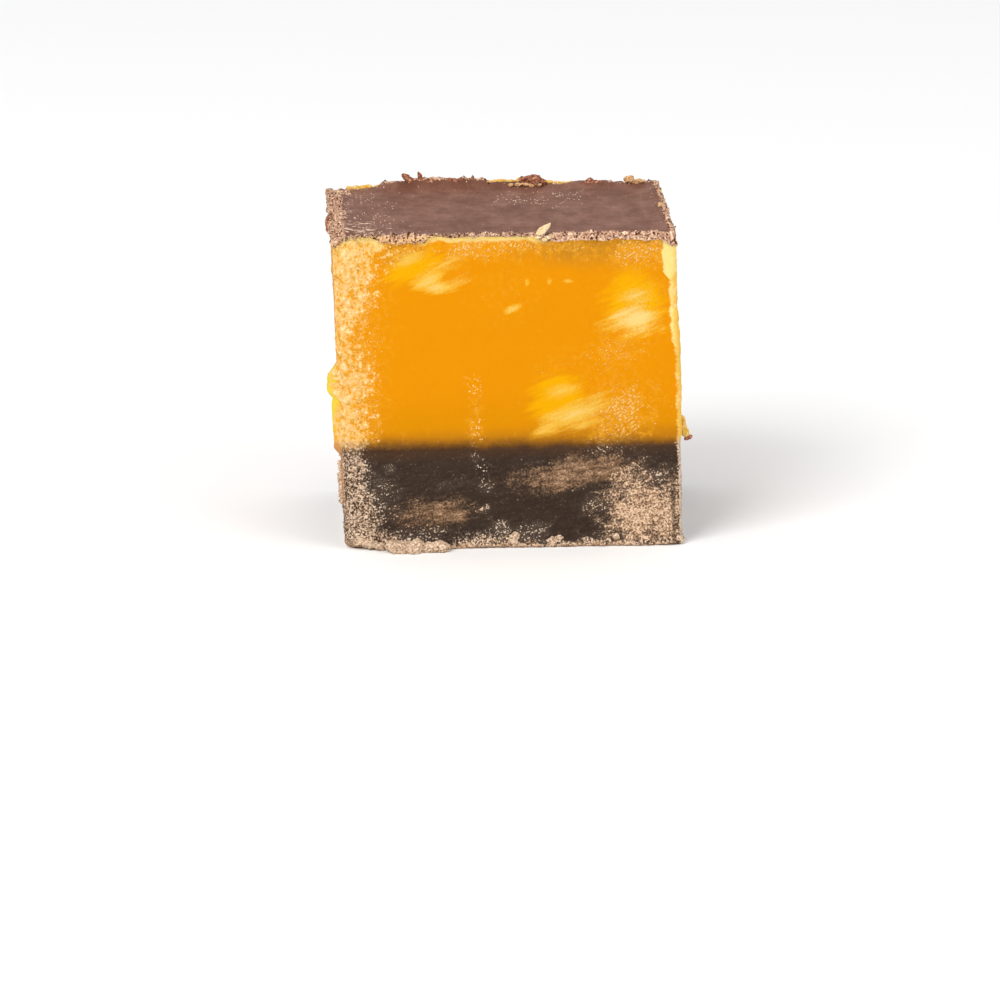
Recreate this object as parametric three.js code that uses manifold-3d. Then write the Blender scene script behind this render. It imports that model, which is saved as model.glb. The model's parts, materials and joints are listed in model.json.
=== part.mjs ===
// A cube of layered fudge, cut by hand from a slab. Millimetres, +Z up, the front cut face towards -Y.
// A dark fudge base carries a thick orange fudge middle, under a thin coat of set chocolate.
// Each layer is a box with many segments whose points are moved on to the cut walls, and the crumbs,
// burrs and lips that the knife left are fused on. Neighbouring layers share the same face.
// The origin is the middle of its bounding box, on the face that the cube stands on.

import * as THREE from "three";
import { mergeVertices } from "three/addons/utils/BufferGeometryUtils.js";
import Module from "manifold-3d";

const { lerp, smoothstep } = THREE.MathUtils;

// Driving sizes.
const WIDTH = 27.5; // across the foot, left to right
const DEPTH = 19; // front to back
const HEIGHT = 26.27; // to the top of the chocolate
const BASE_HEIGHT = 8.45; // mean height of the dark layer
const COAT = 0.9; // thickness of the chocolate at its cut edge
const LEFT_FLARE = 0.9; // the left wall leans out by this much at the top
const RIGHT_LEAN = 0.85; // and the right wall leans in
const BACK_TAPER = 0.1; // the back is narrower than the front, on each side
const FOOT_CENTRE = [0.45, 0.6, 0]; // off the middle, as the leans and burrs reach further left and front
const EDGE_RADIUS = 0.4; // upright edges
const TORN_EDGE_RADIUS = 0.8; // the front left one, which the knife tore
const RIM_RADIUS = 0.2; // edge of the coat
const FOOT_RADIUS = 0.3; // edge that meets the plate
const FOOT_CORNER_RADIUS = 1.2; // the same at the front left corner
const DISH = 0.22; // the chocolate lies this much lower inside its cut edge
const BACK_LIP = 0.5; // and rises this much along the middle of its back edge
const CORNER_DIP = 0.35; // and falls this much at its front left corner

// Facets: fine enough for crags of about a millimetre.
const ACROSS = 24;
const ALONG = 18;
const BASE_STEPS = 9;
const MIDDLE_STEPS = 16;
const COAT_STEPS = 2;
const EDGE_CROWDING = 0.65; // share of the spacing that crowds towards the edges
const FOOT_CROWDING = 1.8; // power that crowds the base's steps towards the foot

// A fixed scatter from -1 to 1 for whole numbers.
function scatter(i, j, seed) {
  let h = Math.imul(i, 374761393) + Math.imul(j, 668265263) + Math.imul(seed, 1442695041);
  h = Math.imul(h ^ (h >>> 13), 1274126177);
  return ((h ^ (h >>> 16)) >>> 0) / 2147483648 - 1;
}

// Smooth noise from -1 to 1 over a plane.
function noise(a, b, seed) {
  const i = Math.floor(a);
  const j = Math.floor(b);
  const s = smoothstep(a - i, 0, 1);
  const t = smoothstep(b - j, 0, 1);
  const low = lerp(scatter(i, j, seed), scatter(i + 1, j, seed), s);
  const high = lerp(scatter(i, j + 1, seed), scatter(i + 1, j + 1, seed), s);
  return lerp(low, high, t);
}

// 1 between two values, fading to 0 over soft on both sides.
function between(value, from, to, soft) {
  return smoothstep(value, from - soft, from + soft) * (1 - smoothstep(value, to - soft, to + soft));
}

// How far a wall stands in at height z, round the foot and the rim of the coat.
function edgeInset(z, footRadius) {
  const foot = Math.max(0, footRadius - z);
  const rim = Math.max(0, z - (HEIGHT - RIM_RADIUS));
  return footRadius - Math.sqrt(footRadius ** 2 - foot ** 2) + rim;
}

// What the cut left on each wall, outwards from its plane. along is x on the front and back, y on the sides.
const WAVE = 0.12; // slow unevenness of every wall
const CRAG = 0.28; // depth of the torn crust
const LEDGE = 0.3; // crumbs pressed into a low ledge along the front foot
const BURR = 1.15; // reach of the lip that was squeezed out below them
const SMEAR = 0.9; // orange fudge dragged round on to the left wall
const walls = {
  front(along, z) {
    const torn = 1 - smoothstep(along, -12.2, -10.2);
    const crumbly = between(along, 6.5, 13.5, 1.2) * (1 - smoothstep(z, 4.5, 6.5));
    const lowerLeft = (1 - smoothstep(along, -10.5, -7)) * (1 - smoothstep(z, 1.5, 4.5));
    const crag = noise(along / 0.9, z / 0.9, 2) * CRAG * Math.min(1, torn + crumbly + lowerLeft);
    const ledge = LEDGE * (0.7 + 0.3 * noise(along / 0.8, 0, 9)) * between(along, -11, 14, 1);
    const lip = BURR * between(along, -10.2, -6, 0.9);
    const pressedOut = ledge * (1 - smoothstep(z, 0.3, 0.8)) + lip * (1 - smoothstep(z, 0.2, 1.5));
    const footRadius = lerp(FOOT_CORNER_RADIUS, FOOT_RADIUS, smoothstep(along, -13.4, -11));
    return WAVE * noise(along / 6, z / 6, 1) + crag + pressedOut - edgeInset(z, footRadius);
  },
  back(along, z) {
    const torn = smoothstep(along, 9.5, 11.5);
    const crag = noise(along / 0.9, z / 0.9, 4) * CRAG * torn;
    return WAVE * noise(along / 6, z / 6, 3) + crag - edgeInset(z, FOOT_RADIUS);
  },
  left(along, z) {
    const crumbly = 1 - smoothstep(z, 2, 5);
    const crag = noise(along / 0.9, z / 0.9, 6) * CRAG * 0.7 * crumbly;
    const lump = Math.max(between(z, 12.6, 15, 0.8), 0.65 * between(z, 8.3, 12.8, 0.5));
    const dragged = SMEAR * lump * between(along, -8.7, -7, 0.5);
    const footRadius = lerp(FOOT_CORNER_RADIUS, FOOT_RADIUS, smoothstep(along, -10.5, -8));
    return WAVE * noise(along / 6, z / 6, 5) + crag + dragged - edgeInset(z, footRadius);
  },
  right(along, z) {
    const crumbly = 1 - smoothstep(z, 1, 3);
    const crag = noise(along / 0.9, z / 0.9, 8) * CRAG * 0.7 * crumbly;
    return WAVE * noise(along / 6, z / 6, 7) + crag - edgeInset(z, FOOT_RADIUS);
  },
};

// Burrs that stand out along the upright edges at height z.
function edgeBurr(towardX, towardY, z) {
  if (towardX > 0 && towardY < 0) {
    const blade = 0.18 + 0.3 * between(z, 22.4, 24.6, 0.5) + 0.1 * noise(z / 0.8, 0, 11);
    return blade * between(z, 0.8, 24.9, 0.4);
  }
  if (towardX < 0 && towardY > 0) {
    return 0.12 + 0.12 * noise(z / 1.1, 0, 12);
  }
  if (towardX > 0 && towardY > 0) {
    return 0.15 + 0.15 * noise(z / 1.4, 0, 13);
  }
  return 0;
}
const BURR_REACH = 0.7;

// The point at u, v from -1 to 1 across and along the block, at height z.
function place(u, v, z) {
  const lift = z / HEIGHT;
  const nominalX = (u * WIDTH) / 2;
  const nominalY = (v * DEPTH) / 2;
  const taper = BACK_TAPER * (v + 1) / 2;
  const left = -WIDTH / 2 - LEFT_FLARE * lift + taper - walls.left(nominalY, z);
  const right = WIDTH / 2 - RIGHT_LEAN * lift - taper + walls.right(nominalY, z);
  const front = -DEPTH / 2 - walls.front(nominalX, z);
  const back = DEPTH / 2 + walls.back(nominalX, z);
  const towardX = u < 0 ? -1 : 1;
  const towardY = v < 0 ? -1 : 1;
  const wallX = u < 0 ? left : right;
  const wallY = v < 0 ? front : back;
  let x = lerp(left, right, (u + 1) / 2);
  let y = lerp(front, back, (v + 1) / 2);
  const burr = edgeBurr(towardX, towardY, z) * Math.max(0, 1 - Math.hypot(wallX - x, wallY - y) / BURR_REACH);
  const radius = towardX < 0 && towardY < 0 ? TORN_EDGE_RADIUS : EDGE_RADIUS;
  const deepX = radius - Math.abs(wallX - x);
  const deepY = radius - Math.abs(wallY - y);
  if (deepX > 0 && deepY > 0) {
    const reach = Math.max(deepX, deepY) / Math.hypot(deepX, deepY);
    x = wallX - towardX * (radius - deepX * reach);
    y = wallY - towardY * (radius - deepY * reach);
  }
  return new THREE.Vector3(x + towardX * burr, y + towardY * burr * 0.6, z);
}

// 0 inside the block, 1 at its cut walls.
const nearWall = (u, v, from, to) => smoothstep(Math.max(Math.abs(u), Math.abs(v)), from, to);

// Faces between the layers, as heights over the footprint.
const foot = () => 0;

function baseTop(u, v) {
  const slope = 0.24 * u + 0.12 * v;
  const swell = 0.28 * Math.sin(2.6 * v + 0.8 * u) * smoothstep(v, -1, 0.2) + 0.1 * noise(2 * u, 2 * v, 21);
  return BASE_HEIGHT + slope + swell;
}

function middleTop(u, v) {
  const lobe = 0.45 * between(u, -0.92, -0.66, 0.07) * (1 - smoothstep(v, -0.99, -0.9));
  const dip = 0.35 * smoothstep(u, 0.9, 1) * (1 - smoothstep(v, -0.99, -0.9));
  const jag = 0.16 * noise(u * 19, v * 15, 22) * nearWall(u, v, 0.93, 1);
  return HEIGHT - COAT + lobe - dip + jag + 0.06 * noise(3 * u, 3 * v, 23);
}

const RIM_CRAG = 0.13; // roughness of the coat's cut edge

function coatTop(u, v) {
  const inside = 1 - nearWall(u, v, 0.8, 0.97);
  const crag = RIM_CRAG * noise(u * 17, v * 13, 24) * (1 - inside);
  const ripple = 0.05 * noise(2.5 * u, 3 * v, 25);
  const raised = 0.45 * between(u, -0.7, 0.7, 0.06) + 0.55 * between(u, -0.5, 0.28, 0.15);
  const lip = BACK_LIP * raised * smoothstep(v, 0.8, 0.98);
  const dip = CORNER_DIP * (1 - smoothstep(u, -0.96, -0.8)) * (1 - smoothstep(v, -0.96, -0.8));
  return HEIGHT - RIM_CRAG - DISH * inside + crag + ripple + lip - dip;
}

// A layer between two of those faces.
const crowd = (t) => (1 - EDGE_CROWDING) * t + EDGE_CROWDING * Math.sin((t * Math.PI) / 2);

function layer(bottomAt, topAt, steps, crowding = 1) {
  const geometry = new THREE.BoxGeometry(2, 2, 2, ACROSS, ALONG, steps);
  const position = geometry.getAttribute("position");
  for (let i = 0; i < position.count; i++) {
    const u = crowd(position.getX(i));
    const v = crowd(position.getY(i));
    const rise = ((position.getZ(i) + 1) / 2) ** crowding;
    const point = place(u, v, lerp(bottomAt(u, v), topAt(u, v), rise));
    position.setXYZ(i, point.x, point.y, point.z);
  }
  return splitAlike(geometry);
}

// A box splits the squares of its underside the other way from those of its top. This turns them, so that
// the triangles of two layers meet.
function splitAlike(box) {
  const index = box.getIndex();
  const { start, count } = box.groups.at(-1);
  for (let i = start; i < start + count; i += 6) {
    const [a, b, c, d] = [0, 1, 4, 5].map((corner) => index.getX(i + corner));
    [a, b, c, a, c, d].forEach((vertex, corner) => index.setX(i + corner, vertex));
  }
  return box;
}

// A crumb: a ball with jittered points, stretched, turned about Z and cut off flat at the plate.
function crumb({ at, size, stretch = [1, 1, 1], turn = 0, seed = 0 }) {
  const ball = mergeable(new THREE.IcosahedronGeometry(1, 1));
  const position = ball.getAttribute("position");
  for (let i = 0; i < position.count; i++) {
    const swell = size * (1 + 0.17 * scatter(i, 5, seed));
    const point = new THREE.Vector3().fromBufferAttribute(position, i).multiplyScalar(swell);
    point.multiply(new THREE.Vector3(...stretch)).applyAxisAngle(new THREE.Vector3(0, 0, 1), turn);
    point.add(new THREE.Vector3(...at));
    position.setXYZ(i, point.x, point.y, Math.max(0, point.z));
  }
  return ball;
}

// A row of crumbs along a wall, from one place to another, uneven in size and place.
function crumbRow({ from, to, count, size, seed }) {
  const start = new THREE.Vector3(...from);
  const end = new THREE.Vector3(...to);
  return Array.from({ length: count }, (_, i) => {
    const at = start.clone().lerp(end, (i + 0.5 + 0.4 * scatter(i, 1, seed)) / count);
    const grown = size * (1 + 0.45 * scatter(i, 2, seed));
    const stretch = [1.25 + 0.3 * scatter(i, 3, seed), 1, 0.75];
    at.z = Math.max(at.z, 0.35 * grown);
    return crumb({ at: at.toArray(), size: grown, stretch, turn: scatter(i, 4, seed), seed: seed + i });
  });
}

// A shaving that the knife lifted: a thin bent leaf that stands on its root.
function shaving({ at, length, width, thickness, lean, turn }) {
  const leaf = new THREE.BoxGeometry(1, 1, 1, 2, 1, 5);
  const position = leaf.getAttribute("position");
  for (let i = 0; i < position.count; i++) {
    const rise = position.getZ(i) + 0.5;
    const taper = 0.25 + 0.75 * Math.sin(Math.PI * Math.min(0.93, 0.25 + 0.7 * rise));
    position.setXYZ(
      i,
      position.getX(i) * width * taper + lean * length * rise ** 1.6,
      position.getY(i) * thickness,
      rise * length,
    );
  }
  return leaf.rotateZ(turn).translate(...at);
}

// Closed meshes and solids.
function mergeable(geometry) {
  const bare = geometry.clone();
  bare.deleteAttribute("normal");
  bare.deleteAttribute("uv");
  return mergeVertices(bare);
}

const wasm = await Module();
wasm.setup();

function solidOf(geometry) {
  const closed = mergeable(geometry);
  const mesh = new wasm.Mesh({
    numProp: 3,
    vertProperties: closed.getAttribute("position").array,
    triVerts: new Uint32Array(closed.index.array),
  });
  return new wasm.Manifold(mesh);
}

function fuse(body, pieces, clearances = []) {
  const joined = pieces.reduce((whole, piece) => whole.add(solidOf(piece)), solidOf(body));
  const solid = clearances.reduce((whole, room) => whole.subtract(solidOf(room)), joined);
  const mesh = solid.getMesh();
  const fused = new THREE.BufferGeometry();
  fused.setAttribute("position", new THREE.BufferAttribute(mesh.vertProperties, 3));
  fused.setIndex(new THREE.BufferAttribute(mesh.triVerts, 1));
  fused.computeVertexNormals();
  return fused;
}

function piece(name, geometry, color, roughness) {
  const material = new THREE.MeshStandardMaterial({ color, roughness, metalness: 0, flatShading: true });
  const mesh = new THREE.Mesh(geometry.translate(...FOOT_CENTRE), material);
  mesh.name = name;
  return mesh;
}

// The dark base, with crumbs pressed out along its foot and up its torn edge.
function base() {
  const side = WIDTH / 2;
  const front = -DEPTH / 2;
  const lip = front - BURR;
  const low = 0.35;
  const crumbs = [
    ...crumbRow({ from: [-10.4, lip, low], to: [-5.6, lip, low], count: 5, size: 0.6, seed: 31 }),
    ...crumbRow({ from: [-13, front, 0.9], to: [-11.4, front - 0.2, low], count: 3, size: 0.4, seed: 41 }),
    crumb({ at: [-0.05, front - 0.15, 0.65], size: 0.5, stretch: [0.7, 0.8, 1.15], seed: 51 }),
    crumb({ at: [3.2, front - 0.2, 0.45], size: 0.55, stretch: [1.3, 0.8, 0.75], seed: 52 }),
    crumb({ at: [8.2, front - 0.1, 0.6], size: 0.34, seed: 53 }),
    ...crumbRow({ from: [-side - 0.1, -5, low], to: [-side - 0.1, 7, low], count: 3, size: 0.4, seed: 61 }),
    ...crumbRow({ from: [-side, front + 1, 2], to: [-side, front + 1, 6.6], count: 3, size: 0.4, seed: 71 }),
    ...crumbRow({ from: [side, -7, low], to: [side, 7, low], count: 3, size: 0.36, seed: 81 }),
    ...crumbRow({ from: [-11, -front, low], to: [11, -front, low], count: 3, size: 0.42, seed: 91 }),
  ];
  const body = layer(foot, baseTop, BASE_STEPS, FOOT_CROWDING);
  return piece("base_fudge", fuse(body, crumbs), "#40322a", 0.6);
}

// Orange burrs that the knife dragged up past the coat, larger by the given room on every side.
function draggedUp(room = 0) {
  const back = DEPTH / 2 + 0.12;
  const rim = HEIGHT - 0.75;
  return [
    crumb({ at: [-11, back, rim + 0.1], size: 0.5 + room, stretch: [2.9, 0.6, 1.75], seed: 103 }),
    crumb({ at: [0.4, back, rim + 0.3], size: 0.5 + room, stretch: [2.5, 0.6, 1.85], seed: 104 }),
    crumb({ at: [4.9, back, rim + 0.15], size: 0.45 + room, stretch: [3, 0.6, 1.9], seed: 105 }),
    shaving({
      at: [1.95, -DEPTH / 2 - 0.14, rim - 0.4 - room],
      length: 1.85 + 2 * room,
      width: 0.62 + 2 * room,
      thickness: 0.24 + 2 * room,
      lean: 0.4,
      turn: 0.25,
    }),
  ];
}

// The orange middle, with smears dragged past its upright edges.
function middle() {
  const right = WIDTH / 2 - 0.25;
  const front = -DEPTH / 2;
  const smears = [
    crumb({ at: [right, front + 0.7, 9.6], size: 0.5, stretch: [0.9, 0.7, 1.9], seed: 101 }),
    crumb({ at: [right + 0.38, front + 0.85, 8.7], size: 0.3, stretch: [1, 0.8, 1.1], seed: 102 }),
    ...draggedUp(),
  ];
  return piece("middle_fudge", fuse(layer(baseTop, middleTop, MIDDLE_STEPS), smears), "#f09a08", 0.45);
}

// The chocolate coat, with flakes broken up along its cut edges, and room for the burrs that pass it.
const BURR_ROOM = 0.08;

function coat() {
  const rim = HEIGHT - RIM_CRAG;
  const root = rim;
  const back = DEPTH / 2 - 0.45;
  const flakes = [
    crumb({ at: [2.4, back, rim + 0.3], size: 0.5, stretch: [2.1, 0.8, 1.05], seed: 111 }),
    crumb({ at: [-6.1, back, rim + 0.35], size: 0.33, stretch: [1.6, 0.9, 0.8], seed: 112 }),
    crumb({ at: [-4.1, back, rim + 0.4], size: 0.3, stretch: [1.5, 0.9, 0.8], seed: 113 }),
    crumb({ at: [7.2, back, rim], size: 0.32, stretch: [1.4, 0.9, 0.8], seed: 114 }),
    crumb({ at: [10.6, back, rim + 0.2], size: 0.4, stretch: [1.4, 0.9, 0.8], seed: 115 }),
    crumb({ at: [-WIDTH / 2 - 0.9, -3.6, rim - 0.25], size: 0.5, stretch: [0.7, 2.8, 1], seed: 116 }),
    shaving({ at: [-7.6, back, root], length: 1.1, width: 0.5, thickness: 0.35, lean: -0.55, turn: 0.4 }),
    shaving({ at: [-6.9, back, root], length: 1.15, width: 0.34, thickness: 0.3, lean: -0.1, turn: -0.3 }),
  ];
  const coated = fuse(layer(middleTop, coatTop, COAT_STEPS), flakes, draggedUp(BURR_ROOM));
  return piece("chocolate_coat", coated, "#7a574a", 0.4);
}

const cube = new THREE.Group();
cube.add(base(), middle(), coat());

export default cube;
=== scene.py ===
import json
import math

import bmesh
import bpy
from mathutils import Matrix, Vector

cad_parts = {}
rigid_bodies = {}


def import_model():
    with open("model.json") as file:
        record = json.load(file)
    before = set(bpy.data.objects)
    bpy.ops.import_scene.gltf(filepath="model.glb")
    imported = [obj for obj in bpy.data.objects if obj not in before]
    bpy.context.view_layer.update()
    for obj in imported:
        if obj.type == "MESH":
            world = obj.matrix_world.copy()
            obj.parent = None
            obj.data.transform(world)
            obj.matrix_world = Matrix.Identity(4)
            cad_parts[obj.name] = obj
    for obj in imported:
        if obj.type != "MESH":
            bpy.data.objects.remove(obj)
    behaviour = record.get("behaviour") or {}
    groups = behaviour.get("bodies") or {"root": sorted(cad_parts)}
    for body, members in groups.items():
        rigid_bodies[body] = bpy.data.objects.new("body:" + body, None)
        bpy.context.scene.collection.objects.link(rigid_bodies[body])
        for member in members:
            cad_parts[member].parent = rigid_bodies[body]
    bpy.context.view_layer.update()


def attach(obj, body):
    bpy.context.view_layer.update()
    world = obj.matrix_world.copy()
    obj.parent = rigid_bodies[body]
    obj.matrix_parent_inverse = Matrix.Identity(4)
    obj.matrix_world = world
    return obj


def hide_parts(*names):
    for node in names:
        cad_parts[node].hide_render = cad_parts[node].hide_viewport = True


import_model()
mm = 0.001

# The cut cube in millimetres, square to its foot before it leans.
cube = {
    "width": 27.5,
    "depth": 19.0,
    "baseTop": 8.45,  # mean height of the dark layer
    "middleTop": 25.37,  # underside of the chocolate
    "top": 26.14,
    "leftFlare": 0.9,  # the left wall leans out by this much at the top
    "rightLean": 0.85,  # and the right wall leans in
    "backTaper": 0.1,
    "footCentre": (0.45, 0.6),
    "edgeRadius": 0.4,
    "tornEdgeRadius": 0.8,  # front left upright edge
    "footRadius": 0.3,
    "dish": 0.2,  # the chocolate lies lower inside its cut edge
    "backLip": 0.5,  # and rises along the middle of its back edge
    "cornerDip": 0.35,  # and falls at its front left corner
    "cornerFoot": 0.9,  # more rounding under the front left corner
    "coatWaveDepth": 3.0,  # how far below the chocolate its wavy underside is felt
    "wallNear": 0.8,  # the marks of a wall fade in from this far behind it
    "wallWhole": 0.15,
}
halfWidth = cube["width"] / 2
halfDepth = cube["depth"] / 2
seamAt, coatFoot, coatTop = cube["baseTop"], cube["middleTop"], cube["top"]

studio = {
    "sky": 0.76,
    "key": 3.9,
    "keyAt": (-0.35, -0.45, 0.5),
    "fill": 1.2,
    "fillAt": (0.5, -0.4, 0.3),
    "lampSize": 0.4,
    "aim": (0, 0, 0.012),
    "floorSize": 4.0,
    "floorDrop": 0.00002,  # keeps the floor clear of the foot
    "brightness": 1.45,  # of a white wall of the cube
    "haze": 0.004,  # what gloss adds to every colour
}


# An output socket that takes + - * / and adds the nodes for them.
class Wire:
    def __init__(self, tree, socket=None):
        self.tree = tree
        self.socket = socket

    def node(self, kind, settings=None, sockets=None, out=0):
        made = self.tree.nodes.new(kind)
        for name, value in (settings or {}).items():
            if name == "stops":
                setStops(made.color_ramp, value)
            else:
                setattr(made, name, value)
        for name, value in (sockets or {}).items():
            if isinstance(value, Wire):
                self.tree.links.new(value.socket, made.inputs[name])
            else:
                made.inputs[name].default_value = value
        return Wire(self.tree, made.outputs[out] if len(made.outputs) else None)

    def other(self, out):
        return Wire(self.tree, self.socket.node.outputs[out])

    def maths(self, operation, first, second=0.0):
        return self.node("ShaderNodeMath", {"operation": operation}, {0: first, 1: second})

    def __add__(self, value):
        return self.maths("ADD", self, value)

    def __radd__(self, value):
        return self.maths("ADD", value, self)

    def __sub__(self, value):
        return self.maths("SUBTRACT", self, value)

    def __rsub__(self, value):
        return self.maths("SUBTRACT", value, self)

    def __mul__(self, value):
        return self.maths("MULTIPLY", self, value)

    def __rmul__(self, value):
        return self.maths("MULTIPLY", value, self)

    def __truediv__(self, value):
        return self.maths("DIVIDE", self, value)

    def __pow__(self, value):
        return self.maths("POWER", self, value)

    def parts(self):
        x = self.node("ShaderNodeSeparateXYZ", None, {0: self})
        return x, x.other(1), x.other(2)


def setStops(ramp, stops):
    while len(ramp.elements) < len(stops):
        ramp.elements.new(0.5)
    for element, (position, value) in zip(ramp.elements, stops):
        element.position = position
        element.color = (*value[:3], 1.0)


def lesser(a, b):
    return a.maths("MINIMUM", a, b)


def greater(first, *others):
    for other in others:
        first = first.maths("MAXIMUM", first, other)
    return first


def size(a):
    return a.maths("ABSOLUTE", a)


def sideOf(a):
    return a.maths("SIGN", a)


# 0 below low and 1 above high, or the other way round where low is above high
def rise(value, low, high):
    settings = {"interpolation_type": "SMOOTHSTEP", "clamp": False}
    return value.node("ShaderNodeMapRange", settings, {0: value, 1: low, 2: high})


def between(value, low, high, soft):
    return rise(value, low - soft, low + soft) * rise(value, high + soft, high - soft)


def vector(x, y, z):
    wire = next(w for w in (x, y, z) if isinstance(w, Wire))
    return wire.node("ShaderNodeCombineXYZ", None, {0: x, 1: y, 2: z})


def shifted(place, by):
    return place.node("ShaderNodeVectorMath", {"operation": "ADD"}, {0: place, 1: by})


def stretched(place, by):
    return place.node("ShaderNodeVectorMath", {"operation": "MULTIPLY"}, {0: place, 1: by})


def scaled(place, by):
    return place.node("ShaderNodeVectorMath", {"operation": "SCALE"}, {0: place, 3: by})


def inMillimetres(place):
    return stretched(place, (1000.0, 1000.0, 1000.0))


# cloud noise about 0, mostly within -0.5 to 0.5, with lumps of about grain millimetres
def cloud(place, grain, detail, rough, seed):
    moved = shifted(place, (seed * 7.31, seed * 3.17, seed * 5.73))
    values = {"Vector": moved, "Scale": 1.0 / grain, "Detail": detail, "Roughness": rough}
    return (place.node("ShaderNodeTexNoise", None, values) - 0.5) * 2.0


# even grit of one size, mostly within -1 to 1
def grit(place, grain, seed):
    return cloud(place, grain, 1.0, 0.5, seed) * 2.4


# rounded cells: 0 at each cell's middle, about 1 where cells meet
def cells(place, grain, seed):
    moved = shifted(place, (seed * 5.11, seed * 2.77, seed * 9.31))
    return place.node("ShaderNodeTexVoronoi", None, {"Vector": moved, "Scale": 1.0 / grain})


def mixed(factor, a, b):
    return factor.node("ShaderNodeMix", {"data_type": "RGBA"}, {0: factor, 6: a, 7: b}, out=2)


# a surface colour, from how it looks under the studio lamps, 0 to 255
def tone(red, green, blue):
    def linear(value):
        value /= 255
        value = value / 12.92 if value <= 0.04045 else ((value + 0.055) / 1.055) ** 2.4
        return min(0.95, max(0.001, value / studio["brightness"] - studio["haze"]))

    return (linear(red), linear(green), linear(blue), 1.0)


# A place in the cube's own millimetres, as wires, with how near each wall it is.
class Cut:
    def __init__(self, place):
        near, whole = cube["wallNear"], cube["wallWhole"]
        self.place = place
        self.x, self.y, self.z = place.parts()
        self.front = rise(self.y, -halfDepth + near, -halfDepth + whole)
        self.back = rise(self.y, halfDepth - near, halfDepth - whole)
        self.left = rise(self.x, -halfWidth + near, -halfWidth + whole)
        self.right = rise(self.x, halfWidth - near, halfWidth - whole)
        self.inFrom = self.x + halfWidth  # from the left edge


# a soft oval on the front face, tilted up to the right by turn degrees, 1 in its middle
def oval(cut, x, z, width, height, turn, ragged, seed):
    edge = cloud(cut.place, 1.1, 3.0, 0.6, seed) * ragged
    return rise(depthIn(cut, x, z, width, height, turn) - edge, -0.35, 0.95) * cut.front


# how deep a place lies in such an oval: 1 in its middle, 0 on its line and less outside
def depthIn(cut, x, z, width, height, turn):
    across, up = math.cos(math.radians(turn)), math.sin(math.radians(turn))
    along = ((cut.x - x) * across + (cut.z - z) * up) / (width / 2)
    over = ((cut.z - z) * across - (cut.x - x) * up) / (height / 2)
    return 1.0 - (along * along + over * over) ** 0.5


# streaks on the front face that rise to the right by turn degrees
def streaks(cut, turn, grain, length, seed, detail=3.0):
    sockets = {"Vector": cut.place, "Angle": math.radians(turn)}
    turned = cut.place.node("ShaderNodeVectorRotate", {"rotation_type": "Y_AXIS"}, sockets)
    return cloud(stretched(turned, (grain / length, 0.3, 1.0)), grain, detail, 0.6, seed)


# dots that fill the given share of their cells
def specks(place, grain, share, seed, wide=0.42):
    cell = cells(place, grain, seed)
    chance = cell.other(1).parts()[0]
    return rise(cell, wide, wide * 0.5) * rise(chance - (1.0 - share), 0.0, 0.04)


# tiny pale flecks, thicker where the share is higher
def flecks(cut, share):
    return rise(streaks(cut, 35.0, 0.15, 0.24, 67) * 1.3 + share, 0.62, 0.8)


# a column of bright dots on the front, across the seam: pale sugar crystals, with their glints painted in
dotColumn = {
    "across": (-2.7, -1.6, 0.4),  # from, to, and how soft its ends are
    "upwards": (5.2, 14.4, 0.6),
    "lean": 0.06,  # to the left for each millimetre up
    "dot": 0.21,
    "share": 0.6,
}


def sparkle(cut):
    column = between(cut.x + dotColumn["lean"] * cut.z, *dotColumn["across"])
    column = column * between(cut.z, *dotColumn["upwards"]) * cut.front
    gathered = rise(cloud(cut.place, 0.9, 2.0, 0.5, 69), -0.25, 0.15)
    return specks(cut.place, dotColumn["dot"], dotColumn["share"], 68) * column * gathered


# a width that grows by each of its steps: from one height, to another, by how much
def stepped(cut, width, steps):
    for start, end, wider in steps:
        width = width + wider * rise(cut.z, start, end)
    return width


# the crust that the knife tore at the front's left edge, wider near the top
tornStrip = {
    "width": 1.3,
    "steps": ((18.3, 21.5, 1.1), (22.5, 24.8, 1.2)),
    "fade": (2.7, -1.4),
    "behind": (1.3, 0.4),  # how far back it reaches on the left wall
    "thinner": 0.9,  # round there
}


def tornEdge(cut):
    ragged = 1.2 * cloud(cut.place, 1.7, 3.0, 0.6, 3) + 0.8 * streaks(cut, 35.0, 0.5, 1.5, 4)
    ragged = ragged + 1.1 * cloud(cut.place, 4.5, 1.0, 0.5, 14)
    reach = stepped(cut, tornStrip["width"], tornStrip["steps"]) + ragged
    far, close = tornStrip["behind"]
    behind = tornStrip["thinner"] * rise(cut.y + 0.6 * ragged, far - halfDepth, close - halfDepth) * cut.left
    return greater(rise(cut.inFrom - reach, *tornStrip["fade"]) * cut.front, behind)


# porous crumb, 1 on its tips and 0 or less in its pits
def crumbGrain(cut, grain=0.45, seed=2):
    lumps = cloud(cut.place, grain, 2.0, 0.65, seed) * 1.3 + 0.55
    return lumps - 0.75 * rise(cells(cut.place, grain * 1.1, seed + 1), 0.34, 0.14)


# dry crumb on the dark layer: the front's left edge, and along the foot of every wall
dryCrumb = {
    "width": 1.9,
    "steps": ((5.5, 3.0, 1.1), (1.9, 0.7, 2.4), (0.9, 0.4, 1.5)),
    "wander": 1.8,
    "fade": (1.5, -1.7),
    "foot": (0.6, 0.22),  # fades in from the first height down to the second
    "otherFoot": (1.6, 0.1),
    "behind": (2.6, 0.8),  # how far back it reaches on the left wall
    "thinner": 0.85,  # away from the front
}


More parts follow.
